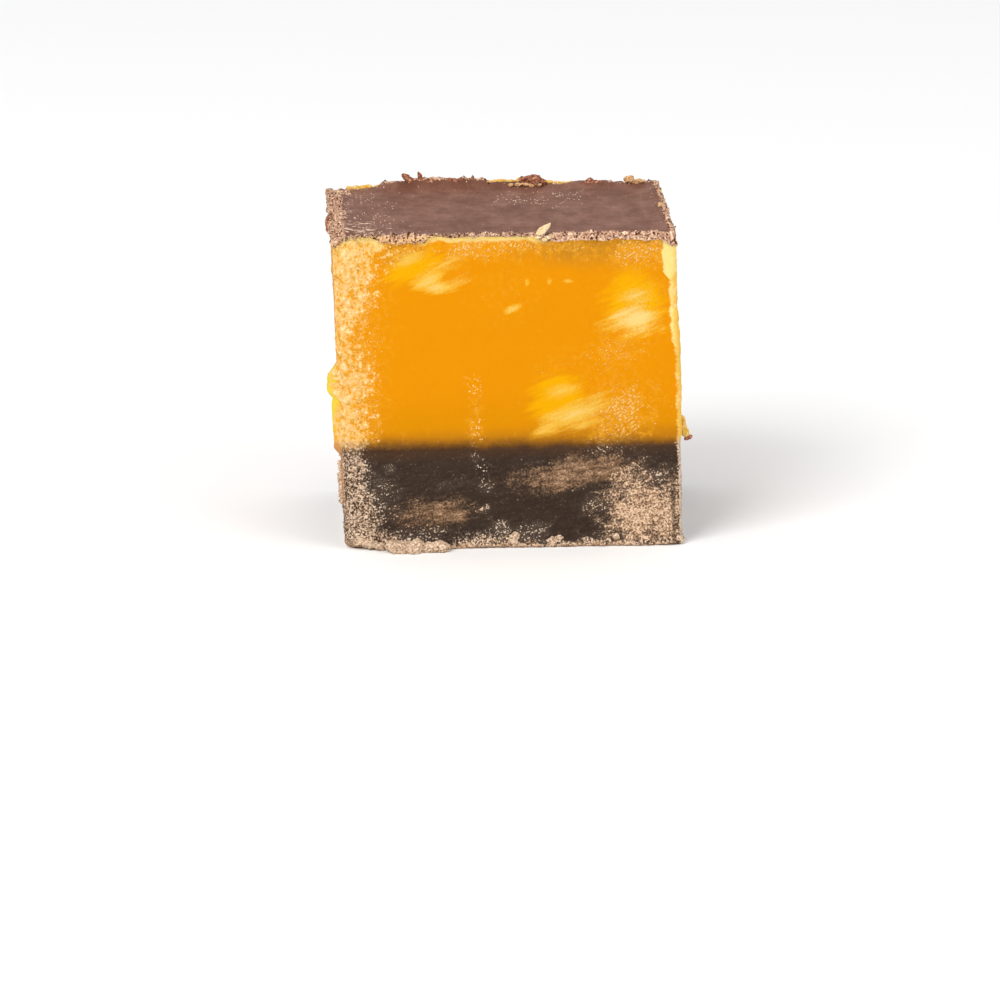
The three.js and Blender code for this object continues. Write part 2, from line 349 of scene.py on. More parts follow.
def dryCrust(cut):
    wander = cloud(cut.place, 1.7, 4.0, 0.65, 5)
    reach = stepped(cut, dryCrumb["width"], dryCrumb["steps"])
    wedge = rise(cut.inFrom - reach - dryCrumb["wander"] * wander, *dryCrumb["fade"]) * cut.front
    fringe = 0.95 * oval(cut, *darkMarks["fringe"])
    foot = 1.1 * rise(cut.z + 0.9 * cloud(cut.place, 1.1, 2.0, 0.6, 8), *dryCrumb["foot"])
    around = (1.0 - cut.front) * rise(cut.z + 2.2 * wander, *dryCrumb["otherFoot"]) * dryCrumb["thinner"]
    far, close = dryCrumb["behind"]
    leftFace = cut.left * rise(cut.y + wander, far - halfDepth, close - halfDepth) * dryCrumb["thinner"]
    return greater(wedge, fringe, foot, around, leftFace)


# The marks on the faces are kept at every corner of the mesh, for the finishes.

# larger marks on the front's dark layer: x, z, width, height, tilt, how ragged, number of the noise
darkMarks = {
    "fringe": (-2.6, 0.3, 7.0, 2.2, 0.0, 0.9, 15),  # dry crumb along the foot
    "heart": (10.9, 2.7, 9.4, 7.8, 0.0, 0.9, 6),  # beige crumb at the right
    "heartTop": (8.9, 5.6, 4.4, 3.0, 30.0, 0.7, 12),
    "shadow": (6.2, 4.9, 4.6, 1.0, 6.0, 0.8, 89),  # dark and clear of crumbs
    "lens": (5.2, 6.1, 12.6, 3.7, 8.0, 0.5, 92),  # brown, where the knife warmed it
    "lensShadow": (6.2, 4.6, 5.4, 1.3, 10.0, 0.4, 89),
    "blotch": (-6.5, 3.1, 8.4, 3.5, 4.0, 0.6, 94),
    "blotchMiddle": (-5.4, 2.8, 4.0, 1.9, 0.0, 0.6, 95),
}

# strokes on the front: x, z, length, width, tilt, then how golden, how pale and how creamy
strokes = (
    (-7.2, 23.4, 5.4, 2.2, 18, 1.0, 0.0, 0.0),
    (-6.2, 22.6, 3.4, 2.0, 22, 0.8, 0.85, 0.5),
    (-5.2, 21.9, 3.2, 1.2, 4, 0.6, 0.85, 0.5),
    (-7.6, 24.1, 3.4, 1.3, 15, 0.3, 0.75, 0.3),
    (-4.8, 23.4, 4.2, 1.0, 24, 0.3, 0.6, 0.3),
    (-4.1, 22.2, 3.6, 1.1, 20, 0.2, 0.6, 0.3),
    (0.5, 19.95, 1.7, 0.6, 20, 0.5, 0.9, 0.5),
    (3.6, 22.15, 0.8, 0.6, 70, 0.5, 0.75, 0.0),
    (5.1, 22.2, 1.0, 0.5, 0, 0.5, 0.8, 0.3),
    (1.8, 22.15, 0.7, 0.4, 70, 0.5, 0.6, 0.0),
    (10.4, 20.2, 5.6, 5.4, 20, 1.1, 0.0, 0.0),
    (10.4, 18.8, 5.2, 2.8, 2, 0.6, 1.05, 0.95),
    (8.4, 18.5, 4.0, 1.0, 8, 0.4, 0.6, 0.2),
    (10.4, 20.8, 4.0, 2.0, 10, 0.3, 0.7, 0.4),
    (4.0, 12.4, 5.2, 4.2, 20, 1.0, 0.0, 0.0),
    (4.4, 13.1, 4.0, 1.3, 12, 0.3, 0.8, 0.4),
    (5.2, 11.2, 6.8, 2.2, 20, 0.5, 1.0, 0.45),
    (3.2, 10.1, 3.6, 1.5, 20, 0.5, 0.8, 0.3),
    (6.0, 10.2, 4.8, 1.3, 14, 0.2, 0.55, 0.0),
)

# where fine flecks gather: x, z, width, height, tilt, how thick
fleckPatches = (
    (9.0, 11.4, 8.4, 6.2, 20, 0.6),
    (8.6, 9.3, 7.6, 3.6, 15, 0.5),
    (9.0, 16.3, 8.4, 5.4, 20, 0.42),
    (11.2, 20.6, 6.0, 5.0, 20, 0.45),
    (11.0, 24.5, 7.2, 4.2, 15, 0.55),
    (5.5, 24.8, 9.6, 2.6, 0, 0.42),
    (-2.7, 24.8, 7.2, 3.4, 15, 0.6),
    (-2.9, 10.4, 1.6, 8.6, -3, 0.42),
    (-7.6, 24.4, 7.0, 3.0, 15, 0.5),
    (4.0, 15.2, 6.0, 3.0, 20, 0.25),
    (0.5, 21.5, 9.0, 5.0, 20, 0.2),
    (0.7, 24.7, 6.5, 2.6, 10, 0.58),
)

# salt-and-pepper places on the front: x, z, width, height, how thick
saltPatches = (
    (6.8, 3.5, 4.4, 3.8, 0.6),
    (8.2, 1.2, 6.6, 3.0, 0.55),
    (11.6, 5.6, 5.4, 4.0, 0.65),
    (1.4, 1.2, 5.2, 3.2, 0.6),
    (-1.2, 1.7, 3.2, 2.0, 0.7),
    (-8.0, 1.4, 9.6, 3.0, 0.6),
    (-10.4, 5.0, 4.2, 7.6, 0.52),
    (8.0, 8.1, 8.4, 2.2, 0.5),
    (8.6, 6.9, 6.0, 2.2, 0.5),
    (-2.9, 7.7, 1.5, 2.6, 0.5),
    (-2.4, 5.4, 2.4, 3.0, 0.55),
    (-5.0, 5.6, 5.0, 2.4, 0.42),
    (-2.4, 3.3, 1.6, 1.1, 1.0),
    (-2.0, 2.4, 1.0, 1.0, 0.6),
    (-9.9, 7.1, 1.0, 0.9, 0.7),
)


# strokes on the other walls, cut with a downward knife: for each of the three, how strong and how rare
wallStrokes = ((2.7, 0.45), (2.8, 0.85), (2.4, 1.05))


# how golden, how pale and how creamy, about 1 in the middle of a stroke and negative away from it
def smearMarks(cut):
    marks = [cut.x * 0.0 - 0.7] * 3
    for x, z, length, width, turn, *weights in strokes:
        depth = depthIn(cut, x, z, length, width, turn) + 0.2
        marks = [greater(mark, depth * weight) if weight else mark for mark, weight in zip(marks, weights)]
    marks = [mark + cut.front - 1.0 for mark in marks]
    for number, (reach, least) in enumerate(wallStrokes):
        drawn = cloud(stretched(cut.place, (1.0, 1.0, 0.4)), 2.6, 3.0, 0.6, 78 + number)
        marks[number] = greater(marks[number], reach * drawn - least - 2.0 * cut.front)
    return vector(*marks)


# how thick the flecks are, and on the dark layer the salt and the beige crumb
def dustMarks(cut):
    share = 0.5 * rise(cut.inFrom + 2.0 * cloud(cut.place, 3.0, 2.0, 0.5, 62), 6.2, 2.0) * cut.front
    for number, (x, z, width, height, turn, thick) in enumerate(fleckPatches):
        share = greater(share, thick * 1.3 * oval(cut, x, z, width, height, turn, 1.0, 63 + number))
    share = greater(share, 0.7 * rise(cloud(cut.place, 4.5, 3.0, 0.6, 84), 0.0, 0.5) * (1.0 - cut.front))
    salt = 0.5 * dryCrust(cut)
    for number, (x, z, width, height, thick) in enumerate(saltPatches):
        salt = greater(salt, thick * 1.15 * oval(cut, x, z, width, height, 10.0, 1.1, 140 + number))
    salt = greater(salt, 0.8 * rise(cloud(cut.place, 3.6, 3.0, 0.6, 83), 0.0, 0.45) * (1.0 - cut.front))
    heart = greater(oval(cut, *darkMarks["heart"]), 0.8 * oval(cut, *darkMarks["heartTop"]))
    clear = 1.0 - 0.8 * oval(cut, *darkMarks["shadow"])
    return vector(share, salt * clear, heart * clear)


# the torn crust, the dry crust, and the brown streaks where the knife warmed the dark layer
def edgeMarks(cut):
    lens = 1.25 * oval(cut, *darkMarks["lens"]) * (1.0 - oval(cut, *darkMarks["lensShadow"]))
    blotch = greater(0.9 * oval(cut, *darkMarks["blotch"]), 1.4 * oval(cut, *darkMarks["blotchMiddle"]))
    smudged = rise(cloud(stretched(cut.place, (0.5, 0.5, 1.2)), 3.0, 4.0, 0.6, 85), 0.1, 0.5)
    wiped = (1.0 - cut.front) * smudged * 0.8
    wander = cloud(cut.place, 1.7, 3.0, 0.6, 3)
    rear = rise(cut.x + 1.2 * wander, 11.0, 12.8) * cut.back
    edges = rise(size(cut.x) + 0.5 * wander, halfWidth - 0.5, halfWidth - 0.1)
    edges = edges * rise(cut.y + wander, halfDepth - 0.9, halfDepth - 0.2)
    torn = greater(tornEdge(cut), 0.85 * rear, 0.7 * edges)
    return vector(torn, dryCrust(cut), greater(lens, blotch, wiped))


# The form of the three layers, in millimetres. A stretch is from, to, and how soft its ends are.
relief = {
    "wave": 0.20,  # slow unevenness of every wall
    "drag": 0.012,  # fine marks of the knife
    "crag": 0.2,  # depth of the torn crust
    "lumps": 0.18,  # and of its larger lumps
    "dry": 0.18,  # roughness of the dry grain on the dark layer
    "rim": 0.34,  # of the chocolate's broken edge
    "fin": 0.12,
    "ledge": 0.26,  # crumbs pressed along the front foot
    "ledgeStretch": (-10.6, 13.6, 0.8),
    "ledgeTop": (0.75, 0.35),
    "lip": 1.15,  # reach of the burr below the front left
    "lipStretch": (-10.2, -5.7, 0.8),
    "lipTop": (1.1, 0.2),
}

# orange fudge dragged round on to the left wall, just behind the torn edge
leftSmear = {
    "thick": 0.9,
    "lump": (12.6, 15.0, 0.8),
    "tail": (8.3, 12.8, 0.5),
    "tailThick": 0.65,
    "across": (-8.7, -7.0, 0.5),
    "stainAt": (-8.3, 11.6),  # y and z
    "stainSize": (1.7, 4.6),
}

# the lower edge of the chocolate on the front: higher on two lobes and one long stretch, lower at the ends
coatLine = {
    "leftLobe": (-12.9, -10.2, 0.4),
    "smallLobe": (-6.1, -4.5, 0.3),
    "lobe": 0.6,
    "longRise": (-4.8, 2.9, 0.6),
    "long": 0.45,
    "leftDip": (-13.0, -13.5),
    "rightDip": (12.9, 13.4),
}

# a thin fin along the front's right edge, with a step and a notch where it widens
finShape = {
    "reach": 0.24,
    "step": 0.26,
    "stepAt": (16.4, 17.4),
    "notch": 0.42,
    "notchAt": (30.1, 30.5),
    "notchSlope": 0.6,
    "jags": 0.34,
}

# the lips that stand along the chocolate's back edge: a stretch, and how high
backLips = (
    (-9.3, -0.5, 0.25, 0.75),
    (-6.5, -1.5, 1.0, 0.35),
    (-0.3, 3.5, 0.3, 0.4),
    (6.4, 10.0, 0.8, 0.4),
)


def baseWave(cut):
    across, along = cut.x / halfWidth, cut.y / halfDepth
    phase = 2.6 * along + 0.8 * across
    swell = 0.28 * phase.maths("SINE", phase) * rise(along, -1.0, 0.2)
    return 0.24 * across + 0.12 * along + swell + 0.12 * cloud(cut.place, 3.0, 2.0, 0.5, 21)


def coatWave(cut):
    lobes = coatLine["lobe"] * between(cut.x, *coatLine["leftLobe"])
    lobes = lobes + coatLine["lobe"] * between(cut.x, *coatLine["smallLobe"])
    raised = greater(lobes, coatLine["long"] * between(cut.x, *coatLine["longRise"])) + 0.15
    dips = 0.4 * rise(cut.x, *coatLine["leftDip"]) + 0.55 * rise(cut.x, *coatLine["rightDip"])
    wall = greater(cut.front, cut.back, cut.left, cut.right)
    return lesser((raised - dips) * cut.front + 0.35 * cloud(cut.place, 0.8, 4.0, 0.7, 22) * wall, 0.66)


def finEdge(cut):
    step = finShape["step"] * rise(cut.z, *finShape["stepAt"])
    notch = finShape["notch"] * rise(cut.z + finShape["notchSlope"] * cut.x, *finShape["notchAt"])
    jags = finShape["jags"] * cloud(stretched(cut.place, (0.5, 0, 1)), 0.8, 4.0, 0.75, 18)
    reach = finShape["reach"] + (step + notch) + jags
    return rise(cut.x + reach, halfWidth - 0.08, halfWidth + 0.08) * cut.front * rise(cut.z, 8.2, 9.0)


def draggedRound(cut):
    ragged = 0.35 * cloud(cut.place, 0.9, 3.0, 0.6, 19)
    tail = leftSmear["tailThick"] * between(cut.z, *leftSmear["tail"])
    lump = greater(between(cut.z, *leftSmear["lump"]), tail)
    across = between(cut.y + ragged, *leftSmear["across"])
    return leftSmear["thick"] * lump * (1.0 + ragged) * across * cut.left


# the stain of that smear, which trails off behind it
def stained(cut):
    wander = 1.6 * cloud(cut.place, 1.8, 4.0, 0.65, 20)
    y, z = leftSmear["stainAt"]
    depth, height = leftSmear["stainSize"]
    behind = (cut.y - y) / depth
    along = (cut.z - z) / height
    return rise(1.0 - (behind * behind + along * along) ** 0.5 + 0.5 * wander, -0.05, 0.35) * cut.left


def wallRelief(cut):
    torn = tornEdge(cut) * rise(cut.z, seamAt - 0.65, seamAt + 0.55)
    torn = greater(torn, 0.8 * rise(cut.x, 11.0, 13.0) * cut.back)
    dry = dryCrust(cut) * rise(cut.z, seamAt + 0.55, seamAt - 0.25)
    coatEdge = rise(cut.z, coatFoot - 0.2, coatFoot + 0.05)
    crust = relief["crag"] * (crumbGrain(cut) - 0.35) + relief["lumps"] * cloud(cut.place, 1.4, 2.0, 0.5, 7)
    dryGrain = relief["dry"] * (crumbGrain(cut, 0.34, 8) - 0.2)
    smooth = relief["drag"] * cloud(stretched(cut.place, (1.0, 1.0, 0.12)), 0.3, 2.0, 0.6, 5)
    wave = relief["wave"] * cloud(cut.place, 6.0, 1.0, 0.5, 1)
    rim = relief["rim"] * (crumbGrain(cut, 0.5, 6) - 0.3)
    out = wave + smooth + torn * crust + dry * dryGrain + coatEdge * rim
    return out + relief["fin"] * finEdge(cut) + draggedRound(cut)


def pressedOut(cut):
    ledge = relief["ledge"] * (1.0 + 1.4 * cloud(cut.place, 0.7, 2.0, 0.6, 9))
    ledge = ledge * between(cut.x, *relief["ledgeStretch"])
    lip = relief["lip"] * between(cut.x, *relief["lipStretch"])
    lip = lip * (1.0 + 0.5 * cloud(cut.place, 0.9, 3.0, 0.6, 10))
    return (ledge * rise(cut.z, *relief["ledgeTop"]) + lip * rise(cut.z, *relief["lipTop"])) * cut.front


# blades and lips along the upright edges
def edgeBurr(cut):
    frontRight = rise(cut.x, halfWidth - 0.55, halfWidth) * rise(cut.y, -halfDepth + 0.55, -halfDepth)
    jags = cloud(stretched(cut.place, (0, 0, 1)), 0.7, 3.0, 0.65, 11)
    blade = 0.02 + 0.14 * rise(cut.z, 8.5, 10.0) + 0.2 * jags
    backLeft = rise(cut.x, -halfWidth + 0.7, -halfWidth) * rise(cut.y, halfDepth - 0.7, halfDepth)
    return frontRight * blade * between(cut.z, 0.6, 25.5, 0.3) + backLeft * (0.1 + 0.3 * jags)


def newForm(name):
    tree = bpy.data.node_groups.new(name, "GeometryNodeTree")
    tree.interface.new_socket("Geometry", in_out="INPUT", socket_type="NodeSocketGeometry")
    tree.interface.new_socket("Geometry", in_out="OUTPUT", socket_type="NodeSocketGeometry")
    return tree, Wire(tree).node("NodeGroupInput")


def stored(geometry, name, kind, value):
    settings = {"data_type": kind, "domain": "POINT"}
    sockets = {"Geometry": geometry, "Name": name, "Value": value}
    return geometry.node("GeometryNodeStoreNamedAttribute", settings, sockets)


# the plan, with its upright edges rounded
def roundedPlan(cut):
    torn = rise(cut.x, 0.1, -0.1) * rise(cut.y, 0.1, -0.1)
    radius = cube["edgeRadius"] + (cube["tornEdgeRadius"] - cube["edgeRadius"]) * torn
    deepX = greater(size(cut.x) - (halfWidth - radius), 0.0)
    deepY = greater(size(cut.y) - (halfDepth - radius), 0.0)
    span = greater((deepX * deepX + deepY * deepY) ** 0.5, 0.0001)
    shrink = lesser(greater(deepX, deepY) / span, 1.0) - 1.0
    return cut.x + sideOf(cut.x) * deepX * shrink, cut.y + sideOf(cut.y) * deepY * shrink


# how far the walls go in where the foot is rounded under
def footInset(cut):
    corner = rise(cut.x, -11.0, -13.2) * rise(cut.y, -8.0, -10.0)
    radius = cube["footRadius"] + cube["cornerFoot"] * corner
    under = greater(radius - cut.z, 0.0)
    return radius - (radius * radius - under * under) ** 0.5


# the chocolate's top, dished and broken at its rim
def topForm(cut, rubble):
    inside = 1.0 - rise(nearEdge(cut), 0.86, 0.97)
    form = 0.05 * cloud(cut.place, 5.0, 2.0, 0.5, 31) - cube["dish"] * inside
    form = form + rubble * (0.36 * crumbGrain(cut, 0.42, 32) - 0.12)
    raised = sum(height * between(cut.x, start, end, soft) for start, end, soft, height in backLips)
    lip = raised * rise(cut.y, 0.8 * halfDepth, 0.98 * halfDepth)
    frontDip = rise(cut.x, -11.0, -13.2) * rise(cut.y, -7.6, -9.1)
    backDip = rise(cut.x, -9.2, -12.5) * rise(cut.y, 5.5, 9.0)
    return form + cube["backLip"] * lip - cube["cornerDip"] * (frontDip + backDip)


# the heights, with the layers' wavy borders
def layerHeight(cut, onTop, rubble):
    swell = cube["coatWaveDepth"]
    lower = lesser(cut.z / seamAt, (coatFoot - cut.z) / (coatFoot - seamAt))
    upper = lesser((cut.z - (coatFoot - swell)) / swell, (coatTop - cut.z) / (coatTop - coatFoot))
    height = cut.z + baseWave(cut) * greater(lower, 0.0) + coatWave(cut) * greater(upper, 0.0)
    return height + onTop * topForm(cut, rubble)


def layerForm():
    tree, start = newForm("cutForm")
    evenX, evenY, evenZ = inMillimetres(start.node("GeometryNodeInputPosition")).parts()
    fromLeft = evenX + halfWidth
    finePart = meshCuts["finer"] * lesser(fromLeft, meshCuts["fineReach"])
    coarsePart = meshCuts["coarser"] * greater(fromLeft - meshCuts["fineReach"], 0.0)
    place = vector(finePart + coarsePart - halfWidth, evenY, evenZ)
    cut = Cut(place)
    kept = stored(start, "cut", "FLOAT_VECTOR", place)
    kept = stored(kept, "smears", "FLOAT_VECTOR", smearMarks(cut))
    kept = stored(kept, "dust", "FLOAT_VECTOR", dustMarks(cut))
    kept = stored(kept, "edges", "FLOAT_VECTOR", edgeMarks(cut))

    # outwards across the walls
    x, y = roundedPlan(cut)
    outX = sideOf(cut.x) * rise(size(cut.x), halfWidth - 0.5, halfWidth)
    outY = sideOf(cut.y) * rise(size(cut.y), halfDepth - 0.5, halfDepth)
    burr = edgeBurr(cut)
    out = wallRelief(cut) - footInset(cut) + pressedOut(cut)
    x = x + outX * (out + burr)
    y = y + outY * (out + burr * 0.6)

    # the walls lean, and the block narrows towards the back
    lift = cut.z / coatTop
    across = (cut.x / halfWidth + 1.0) * 0.5
    x = x - lift * (cube["leftFlare"] + (cube["rightLean"] - cube["leftFlare"]) * across)
    x = x - cut.x / halfWidth * cube["backTaper"] * (cut.y / halfDepth + 1.0) * 0.5

    # a last shake where the surface is torn, so that it has undercuts
    onTop = rise(cut.z, coatFoot, coatTop)
    rubble = brokenRim(cut)
    tornPart = tornEdge(cut) * rise(cut.z, coatFoot + 0.13, coatFoot - 0.27)
    rough = greater(tornPart * 0.6, onTop * rubble) * 0.2
    shake = place.node("ShaderNodeTexNoise", None, {"Vector": place, "Scale": 2.8, "Detail": 2.0}, out=1)
    shakeX, shakeY, shakeZ = shake.parts()
    x = x + (shakeX - 0.5) * rough + cube["footCentre"][0]
    y = y + (shakeY - 0.5) * rough + cube["footCentre"][1]
    z = greater(layerHeight(cut, onTop, rubble) + (shakeZ - 0.5) * rough, 0.0)
    placed = stretched(vector(x, y, z), (mm, mm, mm))
    moved = start.node("GeometryNodeSetPosition", None, {"Geometry": kept, "Position": placed})
    start.node("NodeGroupOutput", None, {0: moved})
    return tree


# 1 at the edge of the plan
def nearEdge(cut):
    return greater(size(cut.x) / halfWidth, size(cut.y) / halfDepth)


# where the top of the chocolate is broken into crumbs
def brokenRim(cut):
    ragged = 0.5 * cloud(cut.place, 0.9, 3.0, 0.65, 33)
    left = rise(cut.x + ragged - 0.8 * rise(cut.y, 6.5, 8.5), -12.5, -12.9)
    right = rise(cut.x + 0.6 * ragged, 13.4, 13.55)
    front = rise(cut.y + 0.9 * ragged, -halfDepth + 0.3, -halfDepth + 0.1)
    patches = rise(cloud(cut.place, 4.0, 1.0, 0.5, 34), -0.1, 0.1)
    back = rise(cut.y + ragged, halfDepth - 0.5, halfDepth - 0.2) * patches
    return greater(left, right, front, back)


def deselectAll():
    bpy.ops.object.select_all(action="DESELECT")


def openMesh():
    bpy.ops.object.mode_set(mode="EDIT")
    bpy.ops.mesh.select_all(action="SELECT")


# turns the faces outwards, smooths them and leaves the mesh
def closeMesh():
    bpy.ops.mesh.select_all(action="SELECT")
    bpy.ops.mesh.normals_make_consistent(inside=False)
    bpy.ops.mesh.faces_shade_smooth()
    bpy.ops.object.mode_set(mode="OBJECT")


# selects the edges that run along one axis
def edgesAlong(block, axis):
    mesh = bmesh.from_edit_mesh(block.data)
    for edge in mesh.edges:
        run = edge.verts[1].co - edge.verts[0].co
        edge.select_set(abs(run[axis]) > 0.99 * run.length)
    mesh.select_flush_mode()
    bmesh.update_edit_mesh(block.data)


def facesFacing(block, direction):
    mesh = bmesh.from_edit_mesh(block.data)
    for face in mesh.faces:
        face.select_set(face.normal.z * direction > 0.99)
    mesh.select_flush_mode()
    bmesh.update_edit_mesh(block.data)


# A box with its walls cut into short pieces. Hidden ends are fans, and shown ends are as fine as the walls.
def addLayer(name, low, high, rows, shownEnd, form):
    deselectAll()
    middle = Vector((0, 0, (low + high) / 2)) * mm
    bpy.ops.mesh.primitive_cube_add(size=1, location=middle)
    layer = bpy.context.object
    layer.name = name
    layer.scale = Vector((cube["width"], cube["depth"], high - low)) * mm
    bpy.ops.object.transform_apply(location=True, rotation=False, scale=True)
    bpy.ops.object.mode_set(mode="EDIT")
    bpy.ops.mesh.select_mode(type="FACE")
    hiddenEnds = [direction for direction in (-1, 1) if direction != shownEnd]
    for direction in hiddenEnds:
        facesFacing(layer, direction)
        bpy.ops.mesh.delete(type="ONLY_FACE")
    bpy.ops.mesh.select_mode(type="EDGE")
    for axis, count in enumerate((meshCuts["across"], meshCuts["along"], rows)):
        edgesAlong(layer, axis)
        bpy.ops.mesh.subdivide(number_cuts=count - 1)
    for direction in hiddenEnds:
        selectRim(layer, low if direction < 0 else high)
        bpy.ops.mesh.mark_sharp()
        bpy.ops.mesh.edge_face_add()
        bpy.ops.mesh.poke()
    closeMesh()
    applyNodes(layer, form)
    return layer


def selectRim(layer, height):
    mesh = bmesh.from_edit_mesh(layer.data)
    for edge in mesh.edges:
        onRim = all(abs(vertex.co.z - height * mm) < 1e-6 for vertex in edge.verts)
        edge.select_set(onRim and edge.is_boundary)
    mesh.select_flush_mode()
    bmesh.update_edit_mesh(layer.data)


def applyNodes(piece, tree):
    deselectAll()
    piece.select_set(True)
    bpy.context.view_layer.objects.active = piece
    modifier = piece.modifiers.new(tree.name, "NODES")
    modifier.node_group = tree
    bpy.ops.object.modifier_apply(modifier=modifier.name)


meshCuts = {
    "across": 220,
    "along": 150,
    "base": 62,
    "middle": 126,
    "coat": 6,
    "fineReach": 5.5,  # of the even cuts, which lie closer near the left edge
    "finer": 0.6,
    "coarser": 1.1,
}
form = layerForm()
base = addLayer("baseLayer", 0.0, seamAt, meshCuts["base"], -1, form)
middle = addLayer("middleLayer", seamAt, coatFoot, meshCuts["middle"], 0, form)
coat = addLayer("chocolateLayer", coatFoot, coatTop, meshCuts["coat"], 1, form)
print("layers:", [(piece.name, len(piece.data.polygons)) for piece in (base, middle, coat)])


# an even random number for each point
def evenDraw(start, seed):
    return start.node("FunctionNodeRandomValue", {"data_type": "FLOAT"}, {2: 0.0, 3: 1.0, 8: seed}, out=1)


# the geometry with its points at the given place, but never below the plate
def standing(start, geometry, place):
    x, y, z = place.parts()
    sockets = {"Geometry": geometry, "Position": vector(x, y, greater(z, 0.0))}
    return start.node("GeometryNodeSetPosition", None, sockets)


# Loose grains, scattered over the torn and dry places.
def grainForm(name, densityOf, grain, seeds):
    tree, start = newForm(name)
    cut = Cut(start.node("GeometryNodeInputNamedAttribute", {"data_type": "FLOAT_VECTOR"}, {"Name": "cut"}))
    density = lesser(greater(densityOf(cut), 0.0), 1.0)
    spacing = grain["spacing"] * mm
    points = start.node(
        "GeometryNodeDistributePointsOnFaces",
        {"distribute_method": "POISSON"},
        {0: start, 2: spacing, 3: 0.9 / spacing ** 2, 5: density, 6: grain["seed"]},
    )
    small, large = grain["radius"]
    radius = (small + (large - small) * evenDraw(start, grain["seed"] + 1) ** 2.5) * mm
    lifted = scaled(points.other(1), radius * grain["proud"])
    points = start.node("GeometryNodeSetPosition", None, {"Geometry": points, "Offset": lifted})
    points = stored(points, "shade", "FLOAT", evenDraw(start, grain["seed"] + 2))
    anyTurn = {1: (6.28, 6.28, 6.28), 8: grain["seed"] + 3}
    turns = start.node("FunctionNodeRandomValue", {"data_type": "FLOAT_VECTOR"}, anyTurn)
    pick = start.node("GeometryNodeCollectionInfo", None, {0: seeds, 1: True, 2: True})
    sockets = {0: points, 2: pick, 3: True, 5: turns, 6: vector(radius, radius, radius)}
    grains = start.node("GeometryNodeInstanceOnPoints", None, sockets)
    whole = start.node("GeometryNodeRealizeInstances", None, {0: grains})
    settled = standing(start, whole, start.node("GeometryNodeInputPosition"))
    start.node("NodeGroupOutput", None, {0: settled})
    return tree


# A few small lumps that every grain is copied from.
def addSeeds():
    seeds = bpy.data.collections.new("seeds")
    bpy.context.scene.collection.children.link(seeds)
    for number, squash in enumerate(((1.0, 0.8, 0.7), (1.3, 0.8, 0.8), (0.9, 0.9, 1.0))):
        deselectAll()
        bpy.ops.mesh.primitive_ico_sphere_add(subdivisions=1, radius=1.0)
        seed = bpy.context.object
        seed.name = "seed%d" % number
        seed.scale = squash
        bpy.ops.object.transform_apply(location=True, rotation=False, scale=True)
        openMesh()
        bpy.ops.transform.vertex_random(offset=0.25, seed=number + 1)
        closeMesh()
        seeds.objects.link(seed)
        bpy.context.scene.collection.objects.unlink(seed)
    return seeds


def scatterOver(layer, name, densityOf, grain, seeds):
    deselectAll()
    layer.select_set(True)
    bpy.context.view_layer.objects.active = layer
    bpy.ops.object.duplicate(linked=False)
    grains = bpy.context.object
    grains.name = name
    applyNodes(grains, grainForm(name + "Form", densityOf, grain, seeds))
    grains.data.materials.clear()
    print("grains:", name, len(grains.data.polygons))
    return grains


crustGrains = {"spacing": 0.26, "radius": (0.06, 0.15), "proud": 0.0, "seed": 11}
dryGrains = {"spacing": 0.2, "radius": (0.05, 0.14), "proud": 0.1, "seed": 21}
rimGrains = {"spacing": 0.24, "radius": (0.04, 0.14), "proud": 0.1, "seed": 31}


def overCrust(cut):
    return tornEdge(cut) * 0.4 - 0.1


def overDry(cut):
    return (dryCrust(cut) - 0.3) * 0.7 * rise(cut.z, 0.02, 0.1)


def overRim(cut):
    otherWalls = greater(cut.left, cut.right, cut.back)
    wall = rise(cut.z, coatFoot + 0.03, coatFoot + 0.18) * greater(cut.front, 0.7 * otherWalls)
    return greater(brokenRim(cut) * rise(cut.z, coatTop - 0.14, coatTop - 0.04), wall)


seeds = addSeeds()
orangeGrains = scatterOver(middle, "orangeGrains", overCrust, crustGrains, seeds)
darkGrains = scatterOver(base, "darkGrains", overDry, dryGrains, seeds)
chocolateGrains = scatterOver(coat, "chocolateGrains", overRim, rimGrains, seeds)
for seed in list(seeds.objects):
    bpy.data.objects.remove(seed)
bpy.data.collections.remove(seeds)


# Crumbs, burrs and flakes on the cut edges are rough all over.
def crumbForm(name, rough, grain):
    tree, start = newForm(name)
    position = start.node("GeometryNodeInputPosition")
    place = inMillimetres(position)
    lumps = 1.6 * cloud(place, grain * 2.4, 2.0, 0.5, 43) + cloud(place, grain, 4.0, 0.7, 41)
    offset = scaled(start.node("GeometryNodeInputNormal"), lumps * rough * mm)
    start.node("NodeGroupOutput", None, {0: standing(start, start, shifted(position, offset))})
    return tree


# millimetres of the cube to metres of the scene
def onCube(place):
    return (Vector(place) + Vector((*cube["footCentre"], 0))) * mm


def smoothed(piece, levels):
    modifier = piece.modifiers.new("rounding", "SUBSURF")
    modifier.levels = modifier.render_levels = levels
    bpy.ops.object.modifier_apply(modifier=modifier.name)


def addCrumb(at, radius, stretch, turn, seed):
    deselectAll()
    centre = onCube(at)
    bpy.ops.mesh.primitive_ico_sphere_add(subdivisions=2, radius=radius * mm, location=centre)
    crumb = bpy.context.object
    bpy.ops.object.transform_apply(location=True, rotation=False, scale=False)
    openMesh()
    bpy.ops.transform.resize(value=stretch, center_override=centre)
    bpy.ops.transform.rotate(value=-math.radians(turn), orient_axis="Y", center_override=centre)
    bpy.ops.transform.vertex_random(offset=radius * 0.3 * mm, seed=seed)
    closeMesh()
    smoothed(crumb, 2)
    return crumb


